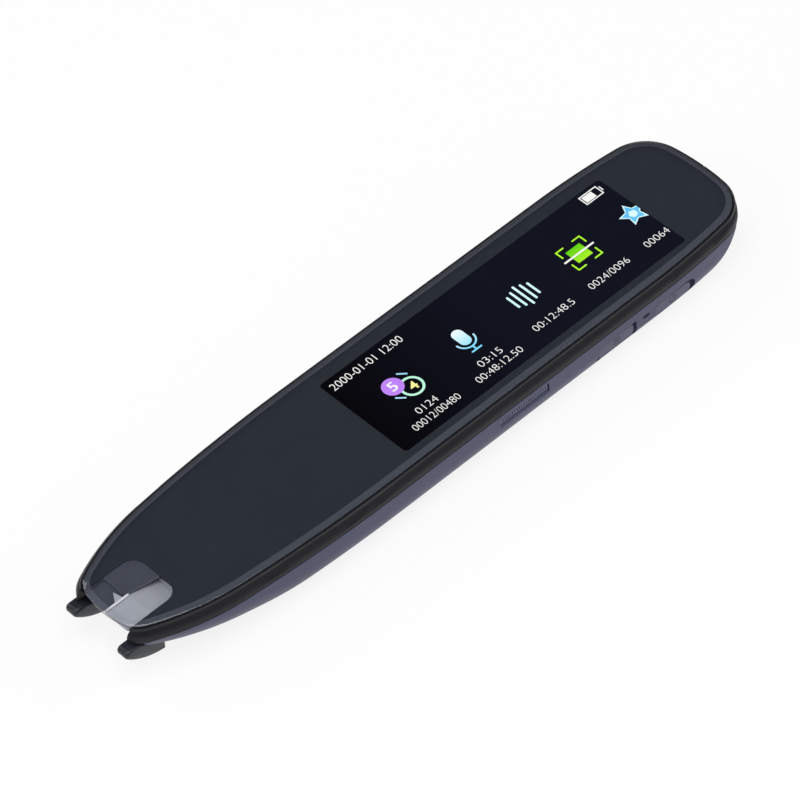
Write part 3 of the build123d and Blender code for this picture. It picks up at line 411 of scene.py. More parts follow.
def meeting(first, first_reach, second, second_reach, side):
    # The point at both reaches from two centres, on the side of the second seen from the first.
    run = second - first
    apart = run.length
    along = (first_reach ** 2 - second_reach ** 2 + apart ** 2) / (2 * apart)
    rise = (first_reach ** 2 - along ** 2) ** 0.5
    unit = run / apart
    return first + unit * along + Vector((-unit.y, unit.x)) * rise * side


foot_black = moulded("black_acetal", "#1E222A", "#242830", 0.33, 0.15 * mm, 0.002 * mm, 0.08 * mm, 0.4)
dress(foot_black, "foot_carrier")
foot_middle = 6.8 * mm
foot_half = 1.45 * mm
foot_nose = -76.45 * mm
nose_radius = 1.0 * mm
foot_crest = 8.5 * mm
foot_top = 7.95 * mm
crest_length = 2.9 * mm
crest_slope = 1.1 * mm
belly_radius = 14.0 * mm
heel = Vector((-67.6, 2.75)) * mm
rail_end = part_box("scan_foot_far")[1].x
rail_half = 1.1 * mm
rail_low, rail_high = 5.9 * mm, 7.7 * mm
foot_round = 0.6 * mm
nose_centre = Vector((foot_nose + nose_radius, foot_crest - nose_radius))
belly_centre = meeting(nose_centre, belly_radius - nose_radius, heel, belly_radius, 1)


def fin_side(bm, y):
    # The fin seen from its side: belly and nose are spun arcs, then straight runs to the heel.
    last = bm.verts.new((heel.x, y, heel.y))
    for centre, end, steps in (
        (belly_centre, bearing(nose_centre - belly_centre), 20), (nose_centre, pi / 2, 20),
    ):
        turn = bearing(last.co.xz - centre) - end
        spun = bmesh.ops.spin(
            bm, geom=[last], cent=(centre.x, y, centre.y), axis=(0, 1, 0),
            angle=(turn + pi) % (2 * pi) - pi, steps=steps,
        )
        last = spun["geom_last"][0]
    for step in (
        (crest_length - nose_radius, 0, 0), (crest_slope, 0, foot_top - foot_crest),
        (heel.x - foot_nose - crest_length - crest_slope, 0, 0),
    ):
        last = bmesh.ops.extrude_vert_indiv(bm, verts=[last])["verts"][0]
        last.co += Vector(step)
    return bmesh.ops.contextual_create(bm, geom=bm.verts[:] + bm.edges[:])["faces"]


for name, side in (("scan_foot_far", 1), ("scan_foot_near", -1)):
    bm = bmesh.new()
    middle = side * foot_middle
    fin_face = fin_side(bm, middle - foot_half)
    grown = bmesh.ops.extrude_face_region(bm, geom=fin_face, use_keep_orig=True)["geom"]
    far_verts = [part for part in grown if isinstance(part, bmesh.types.BMVert)]
    bmesh.ops.translate(bm, verts=far_verts, vec=(0, foot_half * 2, 0))
    bmesh.ops.recalc_face_normals(bm, faces=bm.faces[:])
    rims = {edge for face in bm.faces if abs(face.normal.y) > 0.9 for edge in face.edges}
    bmesh.ops.bevel(
        bm, geom=list(rims), offset=foot_round, offset_type="OFFSET", segments=5,
        profile=0.5, affect="EDGES", material=-1,
    )
    rail = bmesh.ops.create_cube(bm, size=1.0)["verts"]
    rail_start = heel.x - foot_round
    bmesh.ops.scale(bm, vec=(rail_end - rail_start, rail_half * 2, rail_high - rail_low), verts=rail)
    bmesh.ops.translate(bm, verts=rail, vec=(
        (rail_end + rail_start) / 2, middle, (rail_low + rail_high) / 2,
    ))
    rail_edges = {edge for vert in rail for edge in vert.link_edges}
    bmesh.ops.bevel(
        bm, geom=list(rail_edges), offset=0.15 * mm, offset_type="OFFSET", segments=2,
        profile=0.5, affect="EDGES", material=-1,
    )
    for face in bm.faces:
        face.smooth = True
    foot = finished(bm, name.replace("scan_", ""), foot_black)
    foot.data.set_sharp_from_angle(angle=radians(35))
    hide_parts(name)
    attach(foot, "scan_feet")
spring_steel = brushed("drawn_spring_wire", "#8E9094", 0.28, 0.06 * mm)
spring_wall = -47.25 * mm
spring_length = 3.6 * mm
spring_spread = 4.8 * mm
spring_level = 6.0 * mm
spring_radius = 0.9 * mm
wire_radius = 0.14 * mm
spring_turns = 5
turn_steps = 24
coil_start = spring_wall - spring_length + wire_radius
coil_run = spring_length - 2 * wire_radius
bm = bmesh.new()
for side in (-1, 1):
    wire = bmesh.ops.create_circle(bm, segments=10, radius=wire_radius)["verts"]
    bmesh.ops.rotate(bm, verts=wire, matrix=Matrix.Rotation(pi / 2, 3, "X"))
    centre = Vector((coil_start, side * spring_spread, spring_level))
    bmesh.ops.translate(bm, verts=wire, vec=centre + Vector((0, 0, spring_radius - wire_radius)))
    first = list({edge for vert in wire for edge in vert.link_edges})
    spun = bmesh.ops.spin(
        bm, geom=wire + first, cent=centre, axis=(1, 0, 0),
        dvec=(coil_run / (spring_turns * turn_steps), 0, 0),
        angle=2 * pi * spring_turns, steps=spring_turns * turn_steps,
    )
    last = [part for part in spun["geom_last"] if isinstance(part, bmesh.types.BMEdge)]
    for end in (first, last):
        bmesh.ops.contextual_create(bm, geom=end)
bmesh.ops.recalc_face_normals(bm, faces=bm.faces[:])
for face in bm.faces:
    face.smooth = True
springs = finished(bm, "foot_coils", spring_steel)
springs.data.set_sharp_from_angle(angle=radians(50))
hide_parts("foot_springs")
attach(springs, "pen_body")
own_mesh(springs)

# Middle frame: a band of glossy black polycarbonate round the glass with a polished lip,
# held down by four black screws through the main board.
frame_black = moulded(
    "satin_black_polycarbonate", "#1A1A1E", "#1E1E22", 0.35, 0.3 * mm, 0.0008 * mm, 0.1 * mm, 0.15,
)
dress(frame_black, "middle_frame")
screw_steel = brushed("blackened_screw_steel", "#3A3B3E", 0.35, 0.1 * mm)
dress(screw_steel, "frame_screws")

# Display: a black bordered liquid crystal module bonded behind the glass. Its lit picture
# has a clock, a battery sign and five plain signs, each over a row of plain numbers.
display_face = moulded("black_display_border", "#08080A", "#0B0B0E", 0.5, 0.5 * mm, 0.0005 * mm)
dress(display_face, "display_panel")

screen_tip = -12.1 * mm
screen_far = 11.45 * mm
screen_length = 72.15 * mm
screen_width = 22.9 * mm
screen_round = 0.8 * mm
picture_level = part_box("display_panel")[1].z + 0.01 * mm
picture_depth = 0.02 * mm
sign_level = picture_level + 0.025 * mm
sign_depth = 0.01 * mm
glass_loss = 1.09


def lit(name, shade, far_shade=None, fade=None):
    # Light from the display's own dots, a little stronger to make up for the glass over it.
    # A fade runs down the picture between two heights given from its far edge.
    made, tree, place = new_finish(name)
    if fade:
        axes = add(tree, "ShaderNodeSeparateXYZ", {"Vector": place})
        share = add(tree, "ShaderNodeMapRange", {
            "Value": axes.outputs["Y"], "From Min": screen_far - fade[0] * mm,
            "From Max": screen_far - fade[1] * mm,
        }).outputs["Result"]
    else:
        grid = add(tree, "ShaderNodeTexNoise", {"Vector": place, "Scale": 1 / (6 * mm), "Detail": 1.0})
        share = grid.outputs["Fac"]
    tone = add(tree, "ShaderNodeMix", {
        "Factor": share, 6: linear(shade), 7: linear(far_shade or shade),
    }, data_type="RGBA")
    show(tree, add(tree, "ShaderNodeEmission", {"Color": tone.outputs[2], "Strength": glass_loss}))
    return made


def on_screen(along, down):
    # Millimetres along the screen from its tip end, and down from its far edge.
    return Vector((screen_tip + along * mm, screen_far - down * mm, sign_level))


def move(bm, verts, place):
    bmesh.ops.translate(bm, verts=verts, vec=place)
    return verts


def disc(bm, along, down, radius, segments=40):
    verts = bmesh.ops.create_circle(bm, cap_ends=True, segments=segments, radius=radius * mm)["verts"]
    return move(bm, verts, on_screen(along, down))


def ring(bm, along, down, radius, thickness, segments=48):
    outer = bmesh.ops.create_circle(bm, segments=segments, radius=radius * mm)["verts"]
    inner = bmesh.ops.create_circle(bm, segments=segments, radius=(radius - thickness) * mm)["verts"]
    edges = {edge for vert in outer + inner for edge in vert.link_edges}
    bmesh.ops.bridge_loops(bm, edges=list(edges))
    return move(bm, outer + inner, on_screen(along, down))


def bar(bm, start, end, thickness):
    # A bar with round ends: a disc pulled apart along its length.
    start_place = on_screen(*start)
    run = on_screen(*end) - start_place
    verts = bmesh.ops.create_circle(bm, cap_ends=True, segments=16, radius=thickness / 2 * mm)["verts"]
    bmesh.ops.rotate(bm, verts=verts, matrix=Matrix.Rotation(pi / 16, 3, "Z"))
    front = [vert for vert in verts if vert.co.x > 0]
    bmesh.ops.translate(bm, verts=front, vec=(run.length, 0, 0))
    bmesh.ops.rotate(bm, verts=verts, matrix=Matrix.Rotation(bearing(run), 3, "Z"))
    return move(bm, verts, start_place)


def tile(bm, along, down, length, width, corner=0.0, corner_steps=5):
    # A rectangle by its middle, with rounded corners.
    verts = bmesh.ops.create_grid(bm, x_segments=1, y_segments=1, size=0.5)["verts"]
    bmesh.ops.scale(bm, vec=(length * mm, width * mm, 1), verts=verts)
    if corner:
        verts = bmesh.ops.bevel(
            bm, geom=verts, offset=corner * mm, offset_type="OFFSET", segments=corner_steps,
            profile=0.5, affect="VERTICES", material=-1,
        )["verts"]
    return move(bm, verts, on_screen(along, down))


def arc(bm, along, down, radius, thickness, start, end, steps=16):
    # A curved stroke: a short edge across the stroke, spun about the arc's middle.
    near = bm.verts.new(((radius - thickness / 2) * mm, 0, 0))
    far = bm.verts.new(((radius + thickness / 2) * mm, 0, 0))
    edge = bm.edges.new((near, far))
    known = set(bm.verts)
    bmesh.ops.rotate(bm, verts=[near, far], matrix=Matrix.Rotation(radians(start), 3, "Z"))
    bmesh.ops.spin(
        bm, geom=[near, far, edge], cent=(0, 0, 0), axis=(0, 0, 1),
        angle=radians(end - start), steps=steps,
    )
    made = [near, far] + [vert for vert in bm.verts if vert not in known]
    return move(bm, made, on_screen(along, down))


def sign(bm, name, finish, body="pen_body", placed=None):
    # Flat shapes get their thickness, face up, and become one piece.
    bmesh.ops.recalc_face_normals(bm, faces=bm.faces[:])
    for face in bm.faces:
        if face.normal.z < 0:
            face.normal_flip()
    bmesh.ops.solidify(bm, geom=bm.faces[:], thickness=sign_depth)
    if placed:
        bmesh.ops.transform(bm, matrix=placed, verts=bm.verts[:])
    piece = finished(bm, name, finish)
    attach(piece, body)
    return piece


# The picture's dark ground, lighter and bluer from the tip end to the middle and on to the tail:
# that ramp is a painted reflection of the room in the glass over the screen.
made, tree, place = new_finish("lit_dark_ground_painted_reflection")
axes = add(tree, "ShaderNodeSeparateXYZ", {"Vector": place})
fade = add(tree, "ShaderNodeMapRange", {
    "Value": axes.outputs["X"], "From Min": screen_tip, "From Max": screen_tip + screen_length / 2,
})
ground_tone_painted_reflection = add(tree, "ShaderNodeMix", {
    "Factor": fade.outputs["Result"], 6: linear("#06060A"), 7: linear("#10121E"),
}, data_type="RGBA")
show(tree, add(tree, "ShaderNodeEmission", {"Color": ground_tone_painted_reflection.outputs[2], "Strength": glass_loss}))
bm = bmesh.new()
half_screen = screen_length / 2 / mm
tile(bm, half_screen, screen_width / 2 / mm, screen_length / mm, screen_width / mm, screen_round / mm)
bmesh.ops.translate(bm, verts=bm.verts[:], vec=(0, 0, picture_level + picture_depth - sign_level))
bmesh.ops.recalc_face_normals(bm, faces=bm.faces[:])
bmesh.ops.solidify(bm, geom=bm.faces[:], thickness=picture_depth)
ground = finished(bm, "display_ground", made)
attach(ground, "pen_body")

white_light = lit("lit_white", "#F4F4F2")



# Clock: plain numbers, fitted to the width and height of the line they stand on.
def written(bm, text, start, end, top, foot, weight):
    curve = bpy.data.curves.new("letters", "FONT")
    curve.body = text
    curve.offset = weight
    holder = bpy.data.objects.new("letters", curve)
    known = set(bm.verts)
    bm.from_mesh(bpy.data.meshes.new_from_object(holder))
    bpy.data.objects.remove(holder)
    made = [vert for vert in bm.verts if vert not in known]
    across = [vert.co.x for vert in made]
    upward = [vert.co.y for vert in made]
    stretch = (
        (end - start) * mm / (max(across) - min(across)),
        (foot - top) * mm / (max(upward) - min(upward)),
        1,
    )
    move(bm, made, (-min(across), -min(upward), 0))
    bmesh.ops.scale(bm, vec=stretch, verts=made)
    move(bm, made, on_screen(start, foot))
    bmesh.ops.remove_doubles(bm, verts=made, dist=0.001 * mm)


bm = bmesh.new()
written(bm, "2000-01-01 12:00", 1.25, 18.6, 1.25, 3.0, -0.01)
sign(bm, "display_clock", white_light)

# Battery sign: an outline with a stub at its end, half full.
bm = bmesh.new()
for half_height in (-1.12, 1.12):
    bar(bm, (66.1, 2.0 + half_height), (70.4, 2.0 + half_height), 0.26)
for along, half_height in ((66.1, 1.12), (70.4, 1.12), (70.9, 0.5)):
    bar(bm, (along, 2.0 - half_height), (along, 2.0 + half_height), 0.26)
tile(bm, 67.7, 2.0, 2.5, 1.65)
sign(bm, "display_battery_sign", white_light)

# Two round counters with plain numbers: a full disc that lies over a ring, and a short
# dash on either side.
violet_light = lit("lit_violet", "#B57BF0", "#C58CFA")
mint_light = lit("lit_mint", "#B4F5D4", "#C6FBE2")
sky_light = lit("lit_sky", "#9CD6F7", "#B6E6FC")
lemon_light = lit("lit_lemon", "#F4F08A", "#FAF6A8")
bm = bmesh.new()
ring(bm, 11.8, 12.2, 2.4, 0.5)
sign(bm, "display_ring_counter", mint_light)
bm = bmesh.new()
disc(bm, 9.25, 9.8, 2.15)
move(bm, bm.verts[:], (0, 0, sign_depth * 1.2))
sign(bm, "display_full_counter", violet_light)
bm = bmesh.new()
written(bm, "5", 8.45, 9.95, 8.65, 10.9, 0.012)
move(bm, bm.verts[:], (0, 0, sign_depth * 2.4))
sign(bm, "display_full_number", white_light)
bm = bmesh.new()
written(bm, "4", 11.2, 12.85, 11.25, 13.3, 0.012)
sign(bm, "display_ring_number", lemon_light)
bm = bmesh.new()
bar(bm, (11.9, 8.1), (13.2, 9.3), 0.36)
bar(bm, (7.75, 12.2), (9.0, 13.4), 0.36)
sign(bm, "display_counter_dashes", sky_light)

# Microphone sign: a capsule in a cup on a stem.
cyan_light = lit("lit_cyan", "#F2FDFF", "#7FDDFF", (8.0, 13.2))
bm = bmesh.new()
bar(bm, (26.25, 9.2), (26.25, 11.1), 2.5)
sign(bm, "display_microphone_capsule", cyan_light)
bm = bmesh.new()
arc(bm, 26.25, 11.0, 2.1, 0.36, 180, 360)
bar(bm, (26.25, 13.1), (26.25, 14.1), 0.36)
bar(bm, (25.2, 14.2), (27.4, 14.2), 0.36)
sign(bm, "display_microphone_stand", cyan_light)

# Sound sign: five bars of a level meter.
pale_cyan = lit("lit_pale_cyan", "#C4F7F4", "#E2FFFC")
meter_bars = ((38.9, 9.3, 12.4), (40.2, 8.8, 12.95), (41.5, 8.1, 13.6), (42.8, 8.7, 13.0), (44.1, 9.3, 12.5))
bm = bmesh.new()
for along, top, foot in meter_bars:
    bar(bm, (along, top), (along, foot), 0.5)
sign(bm, "display_level_meter", pale_cyan)

# Scan sign: a square page in four corner marks, with a white line across.
lime_light = lit("lit_lime", "#A8F52A", "#BCFF3C")
green_light = lit("lit_green", "#5ACD14", "#A8F02C", (9.0, 12.6))
page_middle = (56.15, 10.8)
page_side = 3.65
mark_reach = 3.05
mark_arm = 1.8
bm = bmesh.new()
tile(bm, *page_middle, page_side, page_side)
sign(bm, "display_page", green_light)
bm = bmesh.new()
for side_along in (-1, 1):
    for side_down in (-1, 1):
        corner = (page_middle[0] + side_along * mark_reach, page_middle[1] + side_down * mark_reach)
        bar(bm, corner, (corner[0] - side_along * mark_arm, corner[1]), 0.34)
        bar(bm, corner, (corner[0], corner[1] - side_down * mark_arm), 0.34)
sign(bm, "display_page_marks", lime_light)
bm = bmesh.new()
bar(bm, (52.5, 10.8), (59.8, 10.8), 0.42)
move(bm, bm.verts[:], (0, 0, sign_depth * 1.2))
sign(bm, "display_page_line", white_light)

# Star sign: five points with a pale edge and folded facets, cut off by the window's end.
star_middle = (70.3, 10.97)
star_reach = 3.0
star_waist = 1.5
star_light = lit("lit_star_blue", "#4FB4EE", "#74CCF8")
pale_star_light = lit("lit_star_edge", "#CDF6FA", "#E2FFFF")


def star(bm, reach, waist, raise_share):
    verts = bmesh.ops.create_circle(bm, cap_ends=True, segments=10, radius=waist * mm)["verts"]
    for vert in verts[::2]:
        vert.co = vert.co.normalized() * reach * mm
    tip = verts[0].co.xy
    bmesh.ops.rotate(bm, verts=verts, matrix=Matrix.Rotation(pi / 2 - bearing(tip), 3, "Z"))
    move(bm, verts, on_screen(*star_middle) + Vector((0, 0, sign_depth * raise_share)))
    bmesh.ops.bisect_plane(
        bm, geom=bm.verts[:] + bm.edges[:] + bm.faces[:], dist=0.0001 * mm,
        plane_co=(screen_tip + screen_length, 0, 0), plane_no=(1, 0, 0), clear_outer=True,
    )


bm = bmesh.new()
star(bm, star_reach, star_waist, 0)
sign(bm, "display_star_edge", pale_star_light)
bm = bmesh.new()
star(bm, star_reach * 0.8, star_waist * 0.86, 1.2)
sign(bm, "display_star", star_light)
bm = bmesh.new()
disc(bm, *star_middle, 1.0, segments=5)
bmesh.ops.rotate(
    bm, cent=on_screen(*star_middle), verts=bm.verts[:], matrix=Matrix.Rotation(pi / 10, 3, "Z"),
)
move(bm, bm.verts[:], (0, 0, sign_depth * 2.4))
sign(bm, "display_star_middle", pale_star_light)

# Names under the signs: plain numbers, where such a pen writes what each page does.
name_height = 1.6
name_rows = (
    ("0124", 7.98, 12.94, 18.15), ("00012/00480", 4.8, 16.15, 20.7),
    ("03:15", 23.65, 29.25, 18.15), ("00:48:12.50", 20.7, 32.0, 20.7),
    ("00:12:48.5", 36.75, 46.87, 19.2), ("0024/0096", 51.25, 61.3, 19.2),
    ("00064", 65.9, 71.9, 19.2),
)
bm = bmesh.new()
for text, start, end, foot in name_rows:
    written(bm, text, start, end, foot - name_height, foot, -0.014)
sign(bm, "display_names", white_light)

# Signs on the side buttons: pad-printed in dark ink, a power sign and three bars for a menu.
made, tree, place = new_finish("pad_printed_dark_ink")
speck = add(tree, "ShaderNodeTexNoise", {"Vector": place, "Scale": 1 / (0.3 * mm), "Detail": 2.0})
print_tone = add(tree, "ShaderNodeMix", {
    "Factor": speck.outputs["Fac"], 6: linear("#16171F"), 7: linear("#1D1E28"),
}, data_type="RGBA")
show(tree, add(tree, "ShaderNodeBsdfPrincipled", {
    "Base Color": print_tone.outputs[2], "Roughness": 0.55,
}))
key_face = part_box("power_button")[0].y - 0.01 * mm
for body, node in (("power_key", "power_button"), ("menu_key", "menu_button")):
    low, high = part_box(node)
    placed = Matrix.Translation(((low.x + high.x) / 2, key_face, (low.z + high.z) / 2))
    placed = placed @ Matrix.Rotation(pi / 2, 4, "X") @ Matrix.Translation(-on_screen(0, 0))
    bm = bmesh.new()
    if node == "power_button":
        arc(bm, 0, 0, 0.8, 0.22, 125, 415)
        bar(bm, (0, -1.1), (0, -0.3), 0.22)
    else:
        for down in (-0.6, 0, 0.6):
            bar(bm, (-0.75, down), (0.75, down), 0.22)
    sign(bm, node + "_sign", made, body, placed)

# Glass: a tempered pane with a ground and polished slope round its edge. Its back is
# printed slate except over the display and the scan mouth, and black foam tape holds it.
tape_black = moulded("black_foam_tape", "#0C0C0D", "#131314", 0.8, 0.15 * mm, 0.01 * mm)
dress(tape_black, "glass_adhesive")
made, tree, place = new_finish("slate_print_ink")
ink = add(tree, "ShaderNodeTexNoise", {"Vector": place, "Scale": 1 / (9 * mm), "Detail": 3.0})
ink_tone = add(tree, "ShaderNodeMix", {
    "Factor": ink.outputs["Fac"], 6: linear("#2A2E35"), 7: linear("#2E3239"),
}, data_type="RGBA")
show(tree, add(tree, "ShaderNodeBsdfPrincipled", {
    "Base Color": ink_tone.outputs[2], "Roughness": 0.6, "Specular IOR Level": 0.0,
}))
dress(made, "glass_print")

tip_end = -74.95 * mm
tail_end = 75.95 * mm
half_width = 15.45 * mm
tip_radius = 22.6 * mm
tip_corner = 5.562 * mm
second_radius = 53.0 * mm
first_radius = 350.0 * mm
first_length = 36.0 * mm
taper_start = -18.05 * mm
tail_taper_start = 48.25 * mm
tail_side_radius = 165.0 * mm
tail_corner = 8.87 * mm
tail_radius = 53.5 * mm


first_turn = asin(first_length / first_radius)
tip_centre = Vector((tip_end + tip_radius, 0))
first_centre = Vector((taper_start, half_width - first_radius))
second_centre = first_centre + (first_radius - second_radius) * Vector((-sin(first_turn), cos(first_turn)))
tail_side_centre = Vector((tail_taper_start, half_width - tail_side_radius))
tail_centre = Vector((tail_end - tail_radius, 0))
tip_corner_centre = meeting(
    tip_centre, tip_radius - tip_corner, second_centre, second_radius - tip_corner, -1,
)
tail_corner_centre = meeting(
    tail_centre, tail_radius - tail_corner, tail_side_centre, tail_side_radius - tail_corner, 1,
)


def rim_loop(bm, inset, level):
    # The body's outline, every arc drawn in by the inset. Arcs are spun from the tip to the
    # tail on the far side, and mirrored to the near side.
    tip_arcs = [
        (tip_centre, bearing(tip_corner_centre - tip_centre), 16),
        (tip_corner_centre, bearing(tip_corner_centre - second_centre), 12),
        (second_centre, pi / 2 + first_turn, 16),
        (first_centre, pi / 2, 16),
    ]
    tail_arcs = [
        (tail_side_centre, bearing(tail_corner_centre - tail_side_centre), 10),
        (tail_corner_centre, bearing(tail_corner_centre - tail_centre), 14),
        (tail_centre, 0, 12),
    ]
    known = set(bm.verts)
    last = bm.verts.new((tip_end + inset, 0, level))

    def spin_to(last, arcs):
        for centre, end, steps in arcs:
            turn = end - bearing(last.co.xy - centre)
            turn = (turn + pi) % (2 * pi) - pi
            spun = bmesh.ops.spin(
                bm, geom=[last], cent=(centre.x, centre.y, level), axis=(0, 0, 1),
                angle=turn, steps=steps,
            )
            last = spun["geom_last"][0]
        return last

    last = spin_to(last, tip_arcs)
    grown = bmesh.ops.extrude_vert_indiv(bm, verts=[last])["verts"]
    bmesh.ops.translate(bm, verts=grown, vec=(tail_taper_start - taper_start, 0, 0))
    spin_to(grown[0], tail_arcs)
    made = [vert for vert in bm.verts if vert not in known]
    edges = list({edge for vert in made for edge in vert.link_edges})
    bmesh.ops.mirror(bm, geom=made + edges, matrix=Matrix.Identity(4), merge_dist=0.001 * mm, axis="Y")
    made = [vert for vert in bm.verts if vert not in known]
    return list({edge for vert in made for edge in vert.link_edges})


glass_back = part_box("glass_print")[1].z + 0.01 * mm
glass_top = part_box("cover_glass")[1].z
glass_inset = 0.6 * mm
slope_width = 1.15 * mm
slope_drop = 0.2 * mm
arris = 0.09 * mm
flat, slope, edge_face, back_face = range(4)
profile = [
    (glass_inset + arris, glass_back, back_face),
    (glass_inset, glass_back + arris, edge_face),
    (glass_inset, glass_top - slope_drop - arris, edge_face),
    (glass_inset + arris * 0.3, glass_top - slope_drop - arris * 0.3, slope),
    (glass_inset + arris, glass_top - slope_drop, slope),
    (glass_inset + slope_width - arris, glass_top - arris * 0.2, slope),
    (glass_inset + slope_width + arris, glass_top, slope),
]


def clear_glass(name, ior, painted_light_weight, painted_light_colour):
    # Glass as the eye meets it: a mirror by angle over a clear view, with a share of flat colour
    # laid over the view. That share is painted light: a paler painted reflection on the slope, painted shade
    # on the edge.
    made, tree, place = new_finish(name)
    smear = add(tree, "ShaderNodeTexNoise", {"Vector": place, "Scale": 1 / (18 * mm), "Detail": 4.0})
    polish = add(tree, "ShaderNodeMapRange", {
        "Value": smear.outputs["Fac"], "To Min": 0.01, "To Max": 0.05,
    })
    mirror = add(tree, "ShaderNodeBsdfGlossy", {
        "Color": linear("#FFFFFF"), "Roughness": polish.outputs["Result"],
    })
    see = add(tree, "ShaderNodeBsdfTransparent")
    flat_painted_light = add(tree, "ShaderNodeBsdfDiffuse", {"Color": linear(painted_light_colour)})
    view_with_painted_light = add(tree, "ShaderNodeMixShader", {"Fac": painted_light_weight, 1: see.outputs[0], 2: flat_painted_light.outputs[0]})
    angle = add(tree, "ShaderNodeFresnel", {"IOR": ior})
    facing = add(tree, "ShaderNodeNewGeometry")
    outer = add(tree, "ShaderNodeMath", {
        0: 1.0, 1: facing.outputs["Backfacing"],
    }, operation="SUBTRACT")
    share = add(tree, "ShaderNodeMath", {
        0: angle.outputs[0], 1: outer.outputs[0],
    }, operation="MULTIPLY")
    show(tree, add(tree, "ShaderNodeMixShader", {
        "Fac": share.outputs[0], 1: view_with_painted_light.outputs[0], 2: mirror.outputs[0],
    }))
    return made


made, tree, place = new_finish("bonded_glass_back")
show(tree, add(tree, "ShaderNodeBsdfTransparent"))
bonded_back = made
flat_glass = clear_glass("polished_cover_glass", 1.5, 0.0, "#FFFFFF")
# The slope's pale grey share is a painted reflection: it makes the lighter band a polished bevel shows.
slope_glass_painted_reflection = clear_glass("polished_glass_slope_painted_reflection", 1.5, 0.17, "#868C9C")
# The edge's dark share is painted shade: it makes the glass edge read as a dark gap.
edge_glass_painted_shade = clear_glass("ground_glass_edge_painted_shade", 1.5, 0.6, "#14151A")
bm = bmesh.new()
loops = [rim_loop(bm, inset, level) for inset, level, face_kind in profile]
back = bmesh.ops.edgeloop_fill(bm, edges=loops[0], mat_nr=back_face)
for lower, upper, (inset, level, face_kind) in zip(loops, loops[1:], profile[1:]):
    for face in bmesh.ops.bridge_loops(bm, edges=lower + upper)["faces"]:
        face.material_index = face_kind
        face.smooth = True
bmesh.ops.edgeloop_fill(bm, edges=loops[-1], mat_nr=flat)
bmesh.ops.recalc_face_normals(bm, faces=bm.faces[:])
cover = finished(bm, "glass_pane", flat_glass, slope_glass_painted_reflection, edge_glass_painted_shade, bonded_back)
cover.data.set_sharp_from_angle(angle=radians(35))
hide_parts("cover_glass")
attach(cover, "pen_body")

# Lip: the middle frame's polished bead round the glass, a little over the satin band with a
# dark gap to the glass. It is open at the scan mouth, at a slit on the far side and at a
# notch in the middle of the tail.
lip_black = moulded(
    "polished_black_lip", "#1C1D21", "#222327", 0.22, 0.3 * mm, 0.0004 * mm, 0.0, 0.4,
)
lip_profile = ((0.4, 11.4), (0.4, 11.87), (0.34, 11.92), (0.14, 11.94), (0.04, 11.84), (-0.02, 11.5))
mouth_half = 6.6 * mm
lip_gaps = (((22.07, 15.4), (1, 0), 0.9), ((75.6, -1.04), (0, 1), 0.8))


def with_parts(faces):
    return faces + list({part for face in faces for part in (*face.verts, *face.edges)})


def near_faces(bm, middle, reach):
    return [face for face in bm.faces if (face.calc_center_median().xy - middle).length < reach]


def close_end(bm, point, normal):
    # The open end of the bead that lies in this plane, next to this point, gets its face.
    ends = [
        edge for edge in bm.edges if edge.is_boundary and all(
            abs((vert.co.xy - point).dot(normal)) < 0.001 * mm and (vert.co.xy - point).length < 3 * mm
            for vert in edge.verts
        )
    ]
    bmesh.ops.contextual_create(bm, geom=ends)


bm = bmesh.new()
loops = [rim_loop(bm, inset * mm, level * mm) for inset, level in lip_profile]
for lower, upper in zip(loops, loops[1:] + loops[:1]):
    for face in bmesh.ops.bridge_loops(bm, edges=lower + upper)["faces"]:
        face.smooth = True
for side in (-1, 1):
    faces = [
        face for face in bm.faces
        if face.calc_center_median().x < taper_start and face.calc_center_median().y * side > 0
    ]
    bmesh.ops.bisect_plane(
        bm, geom=with_parts(faces), dist=0.0001 * mm,
        plane_co=(0, side * mouth_half, 0), plane_no=(0, side, 0), clear_inner=True,
    )
    close_end(bm, Vector((-73.4 * mm, side * mouth_half)), Vector((0, 1)))
for middle, along, width in lip_gaps:
    middle, along, half = Vector(middle) * mm, Vector(along), width / 2 * mm
    for end in (-half, half):
        bmesh.ops.bisect_plane(
            bm, geom=with_parts(near_faces(bm, middle, 20 * mm)), dist=0.0001 * mm,
            plane_co=(*(middle + along * end), 0), plane_no=(*along, 0),
        )
    between = [
        face for face in near_faces(bm, middle, 2 * mm)
        if abs((face.calc_center_median().xy - middle).dot(along)) < half
    ]
    bmesh.ops.delete(bm, geom=between, context="FACES")
    for end in (-half, half):
        close_end(bm, middle + along * end, along)
bmesh.ops.recalc_face_normals(bm, faces=bm.faces[:])
lip = finished(bm, "frame_lip", lip_black)
lip.data.set_sharp_from_angle(angle=radians(35))
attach(lip, "pen_body")
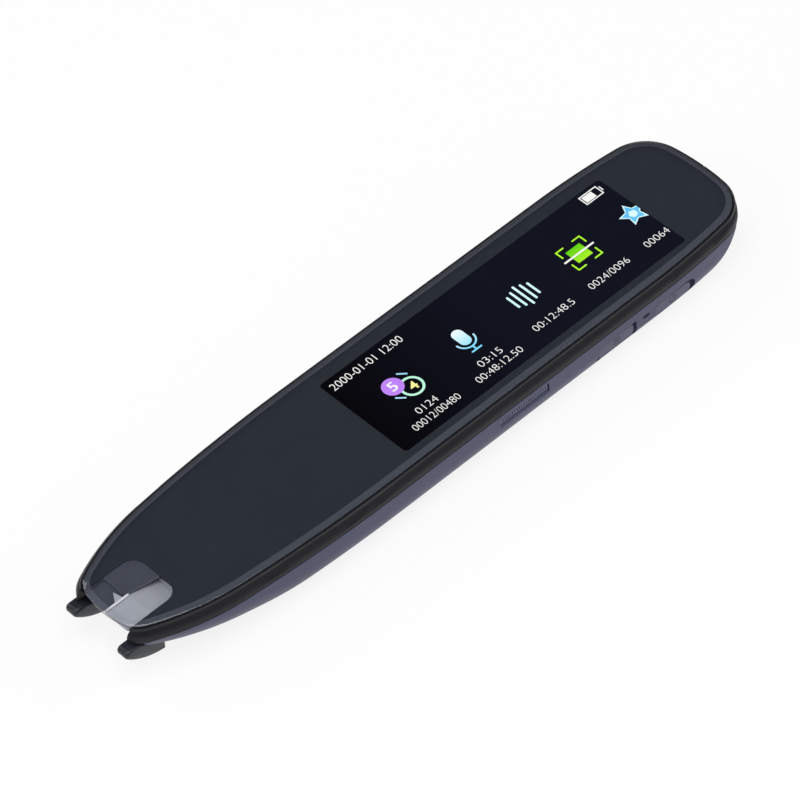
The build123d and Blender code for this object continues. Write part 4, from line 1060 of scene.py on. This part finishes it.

# Light guide edge: the frosted plate's moulded rim along the chamber's roof, drawn much paler than
# the plate's own plastic: a painted highlight for the bright line of light it catches.
guide_painted_highlight = tinted("frosted_guide_edge_painted_highlight", "#E4E7EE", 0.4, 1.49, 0.2, 3 * mm, "#F0F2F6")
guide_low, guide_high = Vector((-73.5, -0.18, 11.1)) * mm, Vector((-68.3, 0.28, 11.14)) * mm
bm = bmesh.new()
bmesh.ops.create_cube(bm, size=1.0)
bmesh.ops.scale(bm, vec=guide_high - guide_low, verts=bm.verts[:])
bmesh.ops.translate(bm, vec=(guide_low + guide_high) / 2, verts=bm.verts[:])
bmesh.ops.bevel(
    bm, geom=bm.edges[:], offset=0.015 * mm, offset_type="OFFSET", segments=1,
    profile=0.5, affect="EDGES", material=-1,
)
guide_edge = finished(bm, "light_guide_edge", guide_painted_highlight)
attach(guide_edge, "pen_body")

# Plate end: the frosted plate's moulded end wall, which rises from the end of its slope to
# just under the print and leans back as it goes.
wall_low, wall_high = Vector((-61.7, -5.65, 8.9)) * mm, Vector((-61.4, 0.3, 11.05)) * mm
wall_lean = 0.6 * mm
bm = bmesh.new()
bmesh.ops.create_cube(bm, size=1.0)
bmesh.ops.scale(bm, vec=wall_high - wall_low, verts=bm.verts[:])
bmesh.ops.translate(bm, vec=(wall_low + wall_high) / 2, verts=bm.verts[:])
bmesh.ops.translate(
    bm, vec=(wall_lean, 0, 0), verts=[vert for vert in bm.verts if vert.co.z > 10 * mm],
)
bmesh.ops.bevel(
    bm, geom=bm.edges[:], offset=0.05 * mm, offset_type="OFFSET", segments=2,
    profile=0.5, affect="EDGES", material=-1,
)
plate_end = finished(bm, "diffuser_end_wall", diffuser_grey)
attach(plate_end, "pen_body")

# Window film: a smoked plastic plate bonded behind the glass over the scan chamber's roof,
# with its near edge slanted to follow the frosted plate as that falls away.
film_low, film_high = 10.62 * mm, 11.12 * mm
film_start, film_end = -69.0 * mm, -61.4 * mm
film_near, film_far = 0.32 * mm, 6.3 * mm
film_slant = 1.25 * mm
bm = bmesh.new()
film = bmesh.ops.create_cube(bm, size=1.0)["verts"]
bmesh.ops.scale(bm, vec=(film_end - film_start, film_far - film_near, film_high - film_low), verts=film)
bmesh.ops.translate(bm, verts=film, vec=(
    (film_start + film_end) / 2, (film_near + film_far) / 2, (film_low + film_high) / 2,
))
for vert in film:
    if vert.co.x > film_end - 0.1 * mm and vert.co.y < film_near + 0.1 * mm:
        vert.co.y -= film_slant
bmesh.ops.bevel(
    bm, geom=bm.edges[:], offset=0.06 * mm, offset_type="OFFSET", segments=2,
    profile=0.5, affect="EDGES", material=-1,
)
window_film = finished(bm, "window_film", chamber_smoke)
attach(window_film, "pen_body")
